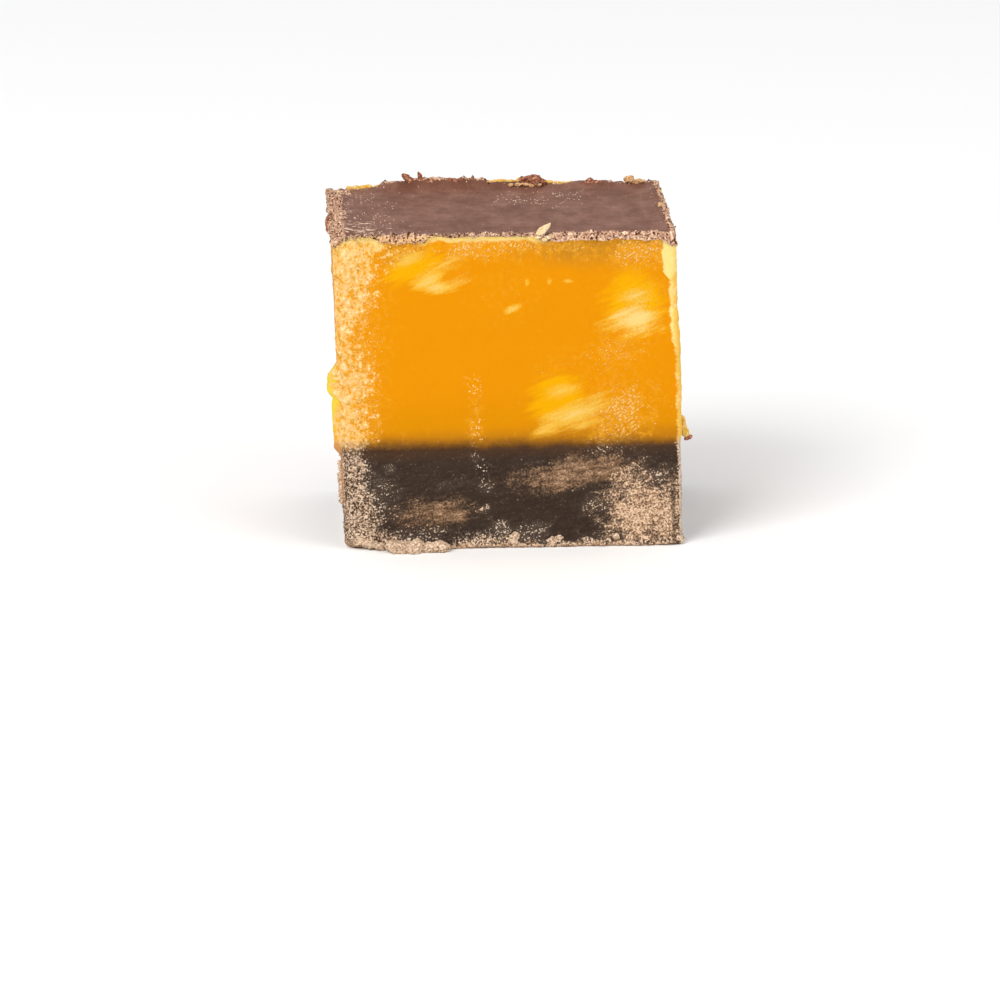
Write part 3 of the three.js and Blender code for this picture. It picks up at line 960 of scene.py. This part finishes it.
# A leaf that the knife lifted: drawn up from its root in short steps, and bent on the way.
def addShaving(at, tip, width, thickness, curl=0.0, turn=0.0):
    deselectAll()
    root = onCube(at)
    reach = onCube(tip) - root
    bpy.ops.mesh.primitive_plane_add(size=1, location=root, rotation=(0, 0, math.radians(turn)))
    leaf = bpy.context.object
    leaf.scale = (width * mm, thickness * mm, 1)
    bpy.ops.object.transform_apply(location=True, rotation=True, scale=True)
    openMesh()
    widths = (0.62, 0.9, 1.0, 0.95, 0.62, 0.2)
    before = root
    for step in range(1, len(widths)):
        share = step / (len(widths) - 1)
        bow = math.sin(math.pi * share) * curl * mm
        here = root + reach * share + Vector((-bow, 0, 0))
        bpy.ops.mesh.extrude_region_move(TRANSFORM_OT_translate={"value": here - before})
        grow = widths[step] / widths[step - 1]
        bpy.ops.transform.resize(value=(grow, min(1.0, grow), 1.0), center_override=here)
        before = here
    closeMesh()
    smoothed(leaf, 3)
    return leaf


def joined(name, pieces, form):
    deselectAll()
    for piece in pieces:
        piece.select_set(True)
    bpy.context.view_layer.objects.active = pieces[0]
    bpy.ops.object.join()
    whole = bpy.context.object
    whole.name = name
    applyNodes(whole, form)
    print("pieces:", name, len(whole.data.polygons))
    return whole


# uneven crumbs in a row along a wall, which may wander from back to front
def crumbRow(start, end, count, radius, seed, wander=0.0):
    row = []
    for number in range(count):
        drawn = [math.sin((seed + number) * k) for k in (12.9, 78.2, 37.7, 51.3)]
        share = (number + 0.5 + 0.4 * drawn[0]) / count
        at = Vector(start).lerp(Vector(end), share) + Vector((0, wander * drawn[2], 0))
        grown = radius * (1 + 0.45 * drawn[1])
        row.append(addCrumb(at, grown, (1.2 + 0.3 * drawn[2], 1.0, 0.8), 25 * drawn[3], seed + number))
    return row


backEdge, rim = halfDepth - 0.4, coatTop
frontEdge, burrLine = -halfDepth, halfDepth + 0.1
flakes = [
    addShaving((-7.3, backEdge, rim - 0.1), (-8.4, backEdge, 27.25), 0.72, 0.26, -0.12, 25),
    addShaving((-6.9, backEdge, rim), (-7.1, backEdge, 27.4), 0.36, 0.25, -0.08, -20),
    addShaving((-2.5, backEdge + 0.1, rim + 0.1), (-2.55, backEdge + 0.1, 27.05), 0.22, 0.18),
    addCrumb((-6.1, backEdge, rim + 0.38), 0.3, (1.7, 0.9, 0.8), 0, 1),
    addCrumb((-4.1, backEdge, rim + 0.42), 0.3, (2.4, 0.9, 0.75), 0, 2),
    addCrumb((2.3, backEdge, rim + 0.35), 0.46, (2.2, 0.9, 1.15), -4, 3),
    addCrumb((1.6, backEdge - 0.1, rim + 0.45), 0.33, (1.3, 0.9, 1.0), 0, 4),
    addCrumb((3.2, backEdge - 0.05, rim + 0.25), 0.36, (1.4, 0.9, 0.9), 20, 5),
    addCrumb((7.2, backEdge, rim + 0.3), 0.27, (1.2, 0.9, 0.9), 0, 6),
    addCrumb((7.4, backEdge, rim + 0.1), 0.3, (3.4, 0.9, 0.6), 0, 7),
    addCrumb((-halfWidth - 0.95, -2.6, rim - 0.2), 0.4, (0.8, 3.2, 1.0), 0, 8),
    addCrumb((-halfWidth - 0.95, -4.4, rim - 0.35), 0.4, (0.8, 2.8, 1.2), 0, 10),
    addCrumb((halfWidth + 0.42, frontEdge + 0.8, 8.75), 0.24, (1.5, 0.9, 1.0), -30, 9),
]
tanCrumbs = [
    addCrumb((10.45, backEdge, rim + 0.3), 0.33, (1.4, 0.9, 1.0), 0, 11),
    addCrumb((11.2, backEdge, rim + 0.12), 0.26, (2.4, 0.9, 0.8), -6, 12),
    addCrumb((12.5, 0.3, rim + 0.02), 0.34, (0.8, 1.6, 0.6), 0, 13),
    addCrumb((12.75, 5.4, rim + 0.02), 0.2, (0.9, 1.5, 0.7), 0, 14),
    addCrumb((0.6, 8.5, rim + 0.12), 0.19, (1.2, 1.0, 0.9), 0, 15),
    addCrumb((1.2, 8.5, rim + 0.14), 0.2, (1.7, 1.0, 0.8), 0, 16),
    addCrumb((1.8, 8.55, rim + 0.14), 0.19, (1.9, 1.0, 0.8), 8, 17),
    addCrumb((2.3, 8.5, rim + 0.06), 0.16, (1.5, 1.0, 0.8), 8, 19),
    addCrumb((2.95, 8.5, rim + 0.08), 0.15, (1.2, 1.0, 0.8), 0, 18),
]
burrs = [
    addCrumb((-12.0, burrLine, 25.9), 0.26, (3.8, 0.9, 0.9), 0, 21),
    addCrumb((-10.5, burrLine, 25.95), 0.26, (4.0, 0.9, 0.8), 0, 22),
    addCrumb((-0.9, burrLine, 26.1), 0.26, (2.6, 0.9, 1.4), 0, 24),
    addCrumb((0.4, burrLine, 26.15), 0.26, (3.6, 0.9, 1.4), 2, 25),
    addCrumb((3.9, burrLine, 25.95), 0.26, (3.0, 0.9, 1.4), 0, 26),
    addCrumb((5.0, burrLine, 25.9), 0.26, (4.0, 0.9, 1.2), -4, 29),
    addCrumb((halfWidth + 0.02, frontEdge + 0.7, 9.75), 0.4, (0.75, 0.7, 2.6), -8, 27),
    addCrumb((halfWidth + 0.2, frontEdge + 0.75, 9.2), 0.32, (1.0, 0.8, 1.5), -14, 28),
]
for start, end, count, seed in (
    ((-12.9, burrLine, 25.95), (-9.6, burrLine, 26.0), 13, 111),
    ((-1.9, burrLine, 26.25), (1.7, burrLine, 26.35), 13, 122),
    ((3.2, burrLine, 26.15), (6.3, burrLine, 26.05), 12, 133),
):
    burrs += crumbRow(start, end, count, 0.22, seed)
creamFlake = [
    addShaving((2.05, frontEdge - 0.1, 25.95), (2.97, frontEdge - 0.1, 27.05), 0.62, 0.16, 0.14, 12),
    addCrumb((1.95, frontEdge - 0.1, 25.85), 0.17, (1.8, 0.8, 0.8), 0, 31),
    addCrumb((2.8, frontEdge - 0.12, 25.85), 0.18, (1.1, 0.8, 0.9), 20, 32),
    addCrumb((2.5, frontEdge - 0.12, 25.65), 0.15, (1.6, 0.8, 0.9), 0, 33),
]
lipAt = frontEdge - relief["lip"]
footCrumbs = crumbRow((-10.4, lipAt + 0.2, 0.35), (-5.6, lipAt + 0.15, 0.4), 7, 0.56, 31)
footCrumbs += crumbRow((-13.0, frontEdge + 0.3, 0.8), (-11.0, frontEdge - 0.1, 0.35), 5, 0.4, 41)
footCrumbs += [
    addCrumb((-0.05, frontEdge, 0.65), 0.46, (0.75, 0.8, 1.25), 10, 51),
    addCrumb((3.0, frontEdge, 0.4), 0.5, (1.0, 0.8, 0.8), 0, 52),
    addCrumb((3.6, frontEdge, 0.55), 0.4, (1.2, 0.8, 1.0), 0, 53),
    addCrumb((8.2, frontEdge, 0.6), 0.32, (1.1, 0.8, 0.9), 0, 54),
]
edgeCrumbs = crumbRow(
    (-halfWidth + 0.1, frontEdge + 0.9, 4.6), (-halfWidth + 0.25, frontEdge + 0.8, 0.9), 9, 0.17, 55
)
edgeCrumbs += crumbRow(
    (-halfWidth - 0.32, frontEdge + 1.9, 6.9), (-halfWidth - 0.2, frontEdge + 1.8, 3.4), 20, 0.24, 72, 0.8
)
footCrumbs += crumbRow((-halfWidth + 0.15, -5.0, 0.2), (-halfWidth + 0.15, 7.0, 0.2), 3, 0.2, 63)
footCrumbs += crumbRow((halfWidth - 0.15, -7.0, 0.2), (halfWidth - 0.15, 7.0, 0.2), 3, 0.2, 81)
footCrumbs += crumbRow((-11.0, halfDepth, 0.3), (11.0, halfDepth, 0.3), 3, 0.38, 91)

flakes = joined("chocolateFlakes", flakes, crumbForm("flakeForm", 0.14, 0.25))
tanCrumbs = joined("tanCrumbs", tanCrumbs, crumbForm("tanForm", 0.1, 0.2))
burrs = joined("orangeBurrs", burrs, crumbForm("burrForm", 0.08, 0.3))
creamFlake = joined("creamFlake", creamFlake, crumbForm("creamForm", 0.05, 0.3))
footCrumbs = joined("footCrumbs", footCrumbs, crumbForm("footForm", 0.2, 0.25))
edgeCrumbs = joined("edgeCrumbs", edgeCrumbs, crumbForm("edgeForm", 0.08, 0.16))


def newMaterial(name):
    material = bpy.data.materials.new(name)
    material.use_nodes = True
    material.node_tree.nodes.clear()
    return material, Wire(material.node_tree)


# a shader whose relief is in millimetres
def finish(start, colour, roughness, height, surface):
    bump = start.node("ShaderNodeBump", None, {"Strength": surface["bump"], "Distance": mm, "Height": height})
    sockets = {"Base Color": colour, "Roughness": roughness, "Normal": bump}
    sockets["Specular IOR Level"] = surface["gloss"]
    if "glow" in surface:
        sockets["Subsurface Weight"] = surface["glow"]
        sockets["Subsurface Scale"] = surface["depth"] * mm
        sockets["Subsurface Radius"] = surface["spread"]
    shader = start.node("ShaderNodeBsdfPrincipled", None, sockets)
    start.node("ShaderNodeOutputMaterial", None, {"Surface": shader})


# the blurred seam that setting left between the dark layer and the orange
seam = {
    "top": 9.6,
    "bottom": 8.25,
    "tilt": 0.015,  # lower at the right
}


# 1 in the dark layer and 0 in the orange
def darkSide(cut):
    blur = 0.3 * cloud(cut.place, 1.6, 2.0, 0.5, 51) + 0.12 * cloud(cut.place, 0.3, 3.0, 0.7, 52)
    return rise(cut.z + seam["tilt"] * cut.x + blur, seam["top"], seam["bottom"])


orange = {
    "deep": tone(245, 157, 0),
    "low": tone(234, 153, 4),
    # painted shade by the seam
    "seam": tone(190, 124, 34),
    "upper": tone(200, 138, 44),
    "haze": tone(250, 172, 42),
    "fleck": tone(266, 214, 136),
    "gold": tone(255, 184, 4),
    "pale": tone(254, 202, 84),
    "cream": tone(256, 222, 138),
    "crust": tone(266, 210, 128),
    "tip": tone(282, 242, 182),
    "pit": tone(248, 174, 44),
    # painted shade on the other walls
    "side": tone(220, 148, 58),
    "salmon": tone(222, 158, 104),
    "yellow": tone(253, 220, 74),
    "lemon": tone(264, 230, 144),
    "fin": tone(268, 240, 152),
    "rim": tone(256, 208, 96),
    "sparkle": tone(290, 240, 168),
    "bump": 1.0,
    "gloss": 0.02,
    "glow": 0.25,
    "depth": 0.6,
    "spread": (1.0, 0.45, 0.12),
}


# deep orange, browner below the chocolate, with painted shade by the seam and on the other walls
def orangeBody(cut, slow):
    colour = mixed(rise(cut.z + slow, 9.8, 13.5), orange["low"], orange["deep"])
    olive = greater(rise(cut.x, -1.0, 4.0), 0.8 * between(cut.x, -9.6, -6.4, 0.8))
    colour = mixed(rise(cut.z + slow * 2.0, 22.4, 25.8) * olive * 0.9, colour, orange["upper"])
    # painted shade by the seam, for the light that sinks into the dark layer
    colour = mixed(rise(cut.z, 10.5, 9.1) * 0.7, colour, orange["seam"])
    # painted shade on the other walls, streaked along the knife's drag marks
    drags = cloud(stretched(cut.place, (1.0, 1.0, 0.15)), 1.0, 3.0, 0.6, 62)
    colour = mixed((1.0 - cut.front) * (0.55 + 0.4 * drags), colour, orange["side"])
    stain = mixed(rise(cut.z + slow, 9.0, 11.5), orange["gold"], orange["yellow"])
    return mixed(stained(cut), colour, stain)


# strokes that the knife dragged up to the right
def withStrokes(cut, colour, fine):
    feather = streaks(cut, 20.0, 0.25, 2.0, 71) * 0.45 + streaks(cut, 20.0, 0.8, 3.0, 72, 2.0) * 0.5
    dusty = feather + 0.12 * fine
    colour = mixed(rise(cut.gold + feather, 0.0, 0.7), colour, orange["gold"])
    colour = mixed(rise(cut.pale + dusty, 0.1, 0.9) * 0.95, colour, orange["pale"])
    return mixed(rise(cut.cream + dusty, 0.3, 0.95), colour, orange["cream"])


# the torn crust, pale on its tips and orange in its pits, following its bumps: pale crust, with a painted
# highlight on the tips
def crustColour(cut, slow, level):
    colour = mixed(rise(level + 0.5 * cut.torn, 0.0, 0.55), orange["pit"], orange["crust"])
    colour = mixed(rise(level + 0.3 * cut.torn, 0.4, 1.0), colour, orange["tip"])
    lemon = rise(cut.z + slow, 22.5, 25.0) * 0.35 * rise(level, -0.3, 0.1)
    return mixed(lemon, colour, orange["lemon"])


def finColour(cut, slow, level):
    colour = mixed(rise(cut.x + 0.25 * level, 13.6, 13.3), orange["rim"], orange["fin"])
    colour = mixed(rise(cut.z + 0.5 * level, 22.3, 23.1) * 0.8, colour, orange["fin"])
    return mixed(rise(slow + 0.7 * level, 0.2, 1.0), colour, orange["tip"])


def orangeColour(cut):
    slow = cloud(cut.place, 4.0, 3.0, 0.55, 61)
    fine = grit(cut.place, 0.18, 75)
    colour = orangeBody(cut, slow)

    # fine pale flecks on a faint haze
    haze = rise(cloud(cut.place, 0.5, 4.0, 0.7, 74) * 1.4 + cut.flecks, 0.15, 0.95)
    colour = mixed(haze * 0.8, colour, orange["haze"])
    mottle = flecks(cut, cut.flecks * 0.75 + 0.05)
    colour = mixed(mottle * 0.9, colour, orange["fleck"])
    # the column of pale crystal dots, with painted glints
    colour = mixed(sparkle(cut) * 0.95, colour, orange["sparkle"])
    colour = withStrokes(cut, colour, fine)

    # the torn crust, and the fin
    lumps = cloud(cut.place, 0.5, 3.0, 0.65, 2) * 1.6
    level = lumps + 0.3 * fine
    covered = rise(cut.torn + 0.5 * lumps + 0.25 * fine, 0.25, 0.75) * rise(cut.torn, 0.0, 0.25)
    colour = mixed(covered, colour, crustColour(cut, slow, level))
    colour = mixed(finEdge(cut) * 0.95, colour, finColour(cut, slow, level))

    # a lemon line below the chocolate
    wander = 0.35 * cloud(cut.place, 0.8, 3.0, 0.6, 76)
    line = rise(cut.z + wander, coatFoot - 0.42, coatFoot - 0.22) * cut.front
    line = line * greater(between(cut.x, -6.5, 3.2, 1.0), 0.9 * between(cut.x, -13.0, -9.8, 0.5))
    return mixed(line * 0.85, colour, orange["lemon"]), mottle


# The tones of the dark layer go by level, from bare fudge to the palest crumb.
dark = {
    "levels": (0.0, 0.22, 0.45, 0.75, 1.0),
    "warm": (
        tone(60, 46, 36), tone(92, 70, 52), tone(142, 110, 83), tone(214, 174, 140), tone(258, 224, 190)
    ),
    "grey": (
        tone(60, 47, 39), tone(86, 72, 62), tone(136, 118, 103), tone(206, 182, 159), tone(256, 238, 218)
    ),
    "bare": (0.04, 0.02, 0.1, 0.05),  # level, then how much of the fine, middle and wide grain it takes
    "heart": (0.75, 0.28, 0.3, 0.2),
    "crust": (0.66, 0.42, 0.3, 0.2),
    "foot": (0.76, 0.25, 0.4),
    "grooveShadeAt": (12.85, 13.2, 0.12),  # painted shade for a groove up the front's right end
    "ridgeAt": (13.4, 13.55),
    "seam": tone(92, 62, 40),
    "dull": tone(134, 113, 94),
    "plain": tone(190, 160, 132),
    "pale": tone(246, 218, 188),
    "bump": 1.0,
    "gloss": 0.08,
}


def ramp(level, tones):
    return level.node("ShaderNodeValToRGB", {"stops": tuple(zip(dark["levels"], tones))}, {0: level})


def darkColour(cut):
    grain = streaks(cut, 15.0, 0.3, 0.9, 93, 4.0)
    fine = grit(cut.place, 0.15, 98)
    both = 0.45 * fine + 0.6 * grain
    wide = cloud(cut.place, 2.4, 3.0, 0.6, 91)

    def levelOf(name):
        level, *weights = dark[name]
        for weight, noise in zip(weights, (fine, grain, wide)):
            level = level + weight * noise
        return level

    # brown where the knife warmed it, dry crumb, and salt and pepper
    warmed = rise(cut.tan + 0.5 * both, 0.0, 0.95)
    heart = rise(cut.heart + 0.4 * both, 0.0, 0.95)
    crust = rise(cut.crust + 0.5 * both, 0.0, 0.85)
    salt = rise(0.55 * fine + 0.6 * grain + 1.25 * cut.salt, 0.7, 1.4) * rise(cut.salt, 0.02, 0.2)
    stray = specks(cut.place, 0.45, 0.06, 99, 0.26)
    level = greater(levelOf("bare"), warmed * (0.24 + 0.2 * cut.tan + 0.15 * fine + 0.5 * grain))
    level = greater(greater(level, heart * levelOf("heart")), crust * levelOf("crust"))
    level = greater(greater(level, sparkle(cut)), greater(salt * 0.9, stray * 0.6))
    level = greater(level, 0.26 * rise(cut.salt + 0.5 * grain, 0.05, 0.9))
    pits = rise(grit(cut.place, 0.26, 87) - 0.8 * wide, 0.35, 0.8)
    pitShare = lesser(crust + heart * (0.3 + 0.6 * rise(cut.x - 0.6 * cut.z, 9.0, 12.5)), 1.0)
    level = level * (1.0 - 0.7 * pits * pitShare)

    # pale crumbs pressed along the foot
    foot = rise(cut.z + 0.8 * cloud(cut.place, 0.8, 3.0, 0.6, 97), 0.42, 0.24)
    level = greater(level, foot * levelOf("foot"))
    warmth = greater(greater(warmed, heart), greater(foot, 0.6 * rise(crust, 0.5, 1.0)))
    colour = mixed(warmth, ramp(level, dark["grey"]), ramp(level, dark["warm"]))
    colour = mixed(rise(cut.z, 7.2, 8.4) * 0.45 * (1.0 - salt), colour, dark["seam"])
    return darkEnds(cut, colour, fine, grain), rise(level, 0.2, 0.8)


# the groove, in painted shade, and the pale ridge at the front's right end, and the orange dragged over the
# left wall
def darkEnds(cut, colour, fine, grain):
    # painted shade of the groove, in the darkest fudge
    paintedGroove = between(cut.x, *dark["grooveShadeAt"]) * cut.front * rise(cut.z, 7.0, 5.5)
    colour = mixed(paintedGroove * 0.6, colour, dark["warm"][0])
    ridge = mixed(rise(fine + grain, -1.5, 0.3), dark["dull"], dark["pale"])
    onRidge = rise(cut.x + 0.1 * fine + 0.3 * grain, *dark["ridgeAt"]) * cut.front
    colour = mixed(onRidge * 0.9, colour, ridge)
    wander = cloud(stretched(cut.place, (1.0, 1.0, 0.4)), 1.2, 4.0, 0.65, 86)
    dragged = rise(cut.y + 2.4 * wander, -6.0, -8.2) * rise(cut.z + 1.5 * wander, 2.6, 4.8)
    return mixed(dragged * cut.left * (1.0 - cut.front), colour, orange["salmon"])


# The top's tones are lightened to carry its satin sheen, which is painted in, as the gloss is low.
chocolate = {
    "plain": tone(160, 116, 100),
    "dark": tone(127, 85, 69),
    "sheenAndWear": tone(176, 134, 118),
    # painted shade for the raised back lip
    "lip": tone(114, 71, 54),
    "speck": tone(264, 228, 202),
    # the darkest tone: painted shade in the rim's pits, and the darker grains
    "pit": tone(96, 58, 42),
    "crumb": tone(226, 178, 147),
    "pale": tone(276, 240, 204),
    "bump": 1.0,
    "gloss": 0.05,
}


# specks of sugar on the chocolate, thickest by the chunk at the back
sugar = {
    "least": 0.018,
    "most": 0.4,
    "middle": (4.0, 4.6),
    "reach": (16.0, 10.0),  # across and along, squared
    "corner": 0.2,  # added towards the left
}


def sugarSpecks(cut, flat):
    x, y = sugar["middle"]
    across, along = sugar["reach"]
    near = rise(((cut.x - x) ** 2.0 / across + (cut.y - y) ** 2.0 / along) ** 0.5, 1.5, 0.3)
    gathered = rise(cloud(flat, 0.9, 3.0, 0.6, 107), -0.7, 0.3)
    share = sugar["least"] + sugar["most"] * near * gathered + sugar["corner"] * rise(cut.x, -6.0, -12.0)
    return greater(specks(flat, 0.18, share, 102, 0.46), specks(flat, 0.32, 0.35 * share, 106, 0.38))


# pale dashes where the crumbs were dragged in from the left
def wipedDashes(cut, flat, blotched):
    wiped = cloud(stretched(flat, (0.4, 1.6, 1.0)), 0.26, 2.0, 0.7, 103) * 1.5
    reached = rise(cut.x + 2.0 * blotched, -6.5, -12.4) * rise(cut.y, 3.0, -5.0)
    return rise(wiped + reached * 0.34, 0.52, 0.64) * rise(reached, 0.0, 0.3)


# the crumbs of the broken rim and of the cut wall, pale on their tips, with painted shade darkening their pits
def rimColour(cut, level, blotched):
    colour = mixed(rise(level, -0.5, 0.05), chocolate["pit"], chocolate["crumb"])
    colour = mixed(rise(level, 0.1, 0.65), colour, chocolate["pale"])
    golden = rise(cut.x + 2.0 * blotched, -2.5, -5.0) * rise(cut.z, coatTop + 0.06, coatTop - 0.44)
    golden = golden * cut.front
    return mixed(golden * rise(level, -0.2, 0.4) * 0.8, colour, orange["crust"])


def chocolateColour(cut):
    flat = stretched(cut.place, (1.0, 0.45, 1.0))
    brushed = cloud(stretched(flat, (0.1, 1.0, 1.0)), 0.4, 4.0, 0.7, 101)
    blotched = cloud(stretched(flat, (0.6, 0.8, 1.0)), 0.9, 4.0, 0.65, 105)
    fine = grit(flat, 0.15, 104)
    shade = 0.26 * brushed + 0.9 * blotched + 0.12 * fine
    # the tones of the top, with its satin sheen painted in
    colour = mixed(rise(shade, -0.45, 0.45), chocolate["dark"], chocolate["plain"])
    colour = mixed(rise(shade + 0.15 * fine, 0.3, 0.7) * 0.6, colour, chocolate["sheenAndWear"])
    # painted shade on the slope of the raised back lip
    lipShade = rise(cut.y, halfDepth - 2.2, halfDepth - 0.6) * between(cut.x, -7.7, 4.1, 1.0)
    colour = mixed(lipShade * 0.6, colour, chocolate["lip"])
    onTop = rise(cut.z, coatTop - 0.09, coatTop - 0.02)
    sweet = sugarSpecks(cut, flat) * onTop * rise(fine, -0.7, 0.1)
    colour = mixed(sweet * 0.95, colour, chocolate["speck"])
    colour = mixed(wipedDashes(cut, flat, blotched) * onTop * 0.9, colour, chocolate["pale"])
    level = 0.5 * (cloud(flat, 0.45, 3.0, 0.65, 6) * 1.6) + 0.6 * fine
    wall = greater(rise(nearEdge(cut), 0.985, 0.995), brokenRim(cut))
    return mixed(rise(wall + 0.2 * level, 0.35, 0.65), colour, rimColour(cut, level, blotched)), wall


def readCut(start):
    def kept(name):
        return start.node("ShaderNodeAttribute", {"attribute_name": name}, None, out=1)

    cut = Cut(kept("cut"))
    cut.gold, cut.pale, cut.cream = kept("smears").parts()
    cut.flecks, cut.salt, cut.heart = kept("dust").parts()
    cut.torn, cut.crust, cut.tan = kept("edges").parts()
    return cut


# Both layers of fudge take the same colours, so that the seam blurs from one into the other.
def fudgeFinish(name, surface):
    material, start = newMaterial(name)
    cut = readCut(start)
    below = darkSide(cut)
    orangeTone, mottle = orangeColour(cut)
    darkTone, pale = darkColour(cut)
    colour = mixed(below, orangeTone, darkTone)
    torn = rise(cut.torn, 0.2, 0.8)
    fineGrain = cloud(cut.place, 0.14, 2.0, 0.7, 111)
    height = 0.012 * cloud(cut.place, 0.8, 2.0, 0.5, 112) + 0.02 * mottle * (1.0 - below) + 0.05 * pale * below
    height = height + torn * (0.07 * cloud(cut.place, 0.5, 3.0, 0.65, 2) + 0.012 * fineGrain)
    roughness = 0.45 + 0.25 * greater(torn, pale * below) + 0.1 * cloud(cut.place, 1.5, 2.0, 0.5, 113)
    finish(start, colour, roughness, height, surface)
    return material


def chocolateFinish():
    material, start = newMaterial("milkChocolate")
    cut = readCut(start)
    colour, wall = chocolateColour(cut)
    brushed = cloud(stretched(cut.place, (0.06, 1.0, 1.0)), 0.6, 3.0, 0.6, 121)
    rubble = 0.08 * cloud(cut.place, 0.45, 3.0, 0.65, 6) + 0.015 * cloud(cut.place, 0.14, 2.0, 0.7, 122)
    height = 0.008 * brushed + wall * rubble
    roughness = 0.5 + 0.25 * wall + 0.08 * brushed
    finish(start, colour, roughness, height, chocolate)
    return material


# Grains keep the tones of where they lie, some paler and some darker.
def grainFinish(name, tones, surface):
    material, start = newMaterial(name)
    dull, plain, pale = [surface[key] for key in tones]
    shade = start.node("ShaderNodeAttribute", {"attribute_name": "shade"}, None, out=2)
    place = inMillimetres(start.node("ShaderNodeTexCoord", None, None, out=3))
    fineGrain = cloud(place, 0.12, 2.0, 0.6, 131)
    colour = mixed(rise(shade, 0.0, 0.35), dull, plain)
    colour = mixed(rise(shade + fineGrain * 0.3, 0.55, 1.0), colour, pale)
    finish(start, colour, 0.6 + 0.1 * fineGrain, 0.02 * fineGrain, surface)
    return material


orangeFudge = fudgeFinish("orangeFudge", orange)
darkFudge = fudgeFinish("darkFudge", dark)
milkChocolate = chocolateFinish()
orangeGrain = grainFinish("orangeGrain", ("pit", "crust", "tip"), orange)
darkGrain = grainFinish("darkGrain", ("dull", "plain", "pale"), dark)
chocolateGrain = grainFinish("chocolateGrain", ("pit", "crumb", "pale"), chocolate)


# Crumbs and flakes are dull in their pits and pale on their tips, following their bumps: their own tones, with
# painted shade in the pits and a painted highlight on the tips.
def crumbFinish(name, tones, surface, grain):
    material, start = newMaterial(name)
    dull, plain, pale = tones
    place = inMillimetres(start.node("ShaderNodeTexCoord", None, None, out=3))
    lumps = cloud(place, grain, 4.0, 0.7, 41)
    fine = grit(place, 0.17, 133)
    colour = mixed(rise(lumps + 0.25 * fine, -0.4, 0.05), dull, plain)
    colour = mixed(rise(lumps + 0.35 * fine, 0.05, 0.5), colour, pale)
    finish(start, colour, 0.6 + 0.15 * lumps, 0.02 * lumps + 0.006 * fine, surface)
    return material


crumbTones = {
    "flake": (tone(112, 64, 46), tone(176, 114, 88), tone(250, 190, 156)),
    "tan": (tone(190, 136, 88), tone(240, 190, 136), tone(272, 232, 188)),
    "burr": (tone(252, 178, 54), tone(262, 208, 108), tone(272, 234, 164)),
    "cream": (tone(252, 208, 150), tone(262, 232, 184), tone(272, 250, 222)),
    "foot": (tone(146, 118, 94), tone(234, 200, 168), tone(272, 248, 220)),
}
flakeFinish = crumbFinish("flakeChocolate", crumbTones["flake"], chocolate, 0.3)
tanFinish = crumbFinish("tanCrumb", crumbTones["tan"], dark, 0.22)
burrFinish = crumbFinish("yellowBurr", crumbTones["burr"], orange, 0.4)
creamFinish = crumbFinish("creamCrumb", crumbTones["cream"], orange, 0.5)
footFinish = crumbFinish("footCrumb", crumbTones["foot"], dark, 0.18)

for piece, slot, material in (
    (base, "dark_fudge", darkFudge),
    (middle, "orange_fudge", orangeFudge),
    (coat, "chocolate", milkChocolate),
    (orangeGrains, "orange_fudge", orangeGrain),
    (darkGrains, "dark_fudge", darkGrain),
    (chocolateGrains, "chocolate", chocolateGrain),
    (flakes, "chocolate", flakeFinish),
    (tanCrumbs, "orange_fudge", tanFinish),
    (burrs, "orange_fudge", burrFinish),
    (creamFlake, "orange_fudge", creamFinish),
    (footCrumbs, "dark_fudge", footFinish),
    (edgeCrumbs, "dark_fudge", footFinish),
):
    piece.data.materials.append(material)
    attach(piece, "root")
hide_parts("base_fudge")
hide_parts("middle_fudge")
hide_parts("chocolate_coat")


def plainFinish(name, colour, roughness):
    material, start = newMaterial(name)
    shader = start.node("ShaderNodeBsdfPrincipled", None, {"Base Color": colour, "Roughness": roughness})
    start.node("ShaderNodeOutputMaterial", None, {"Surface": shader})
    return material


# floor, light and camera
deselectAll()
bpy.ops.mesh.primitive_plane_add(size=studio["floorSize"], location=(0, 0, -studio["floorDrop"]))
floor = bpy.context.object
floor.name = "floor"
floor.data.materials.append(plainFinish("floorPaint", (0.9, 0.9, 0.9, 1.0), 0.9))

world = bpy.data.worlds.new("studio")
bpy.context.scene.world = world
world.use_nodes = True
world.node_tree.nodes["Background"].inputs["Color"].default_value = (1, 1, 1, 1)
world.node_tree.nodes["Background"].inputs["Strength"].default_value = studio["sky"]


def addLamp(name, place, power):
    bpy.ops.object.light_add(type="AREA", location=place)
    lamp = bpy.context.object
    lamp.name = name
    lamp.data.shape = "RECTANGLE"
    lamp.data.size = studio["lampSize"]
    lamp.data.size_y = studio["lampSize"]
    lamp.data.energy = power
    lamp.rotation_euler = (Vector(studio["aim"]) - Vector(place)).to_track_quat("-Z", "Y").to_euler()


addLamp("keyLamp", studio["keyAt"], studio["key"])
addLamp("fillLamp", studio["fillAt"], studio["fill"])

view = {
    "yaw": 2.39,  # degrees, from the left of the front face
    "height": 14.87,  # degrees above level
    "roll": -0.35,
    "target": (-0.4, 0.0, 1.62),
    "distance": 570.6,
    "lens": 248.4,
    "sensor": 36.0,
    "clip": (0.01, 20.0),
}
yaw, height = math.radians(view["yaw"]), math.radians(view["height"])
back = Vector((-math.sin(yaw) * math.cos(height), -math.cos(yaw) * math.cos(height), math.sin(height)))
target = Vector(view["target"]) * mm
bpy.ops.object.camera_add(location=target + back * view["distance"] * mm)
camera = bpy.context.object
camera.name = "viewCamera"
turn = (-back).to_track_quat("-Z", "Y").to_matrix() @ Matrix.Rotation(math.radians(view["roll"]), 3, "Z")
camera.rotation_euler = turn.to_euler()
camera.data.lens = view["lens"]
camera.data.sensor_width = view["sensor"]
camera.data.clip_start, camera.data.clip_end = view["clip"]
bpy.context.scene.camera = camera
bpy.context.scene.view_settings.view_transform = "Standard"
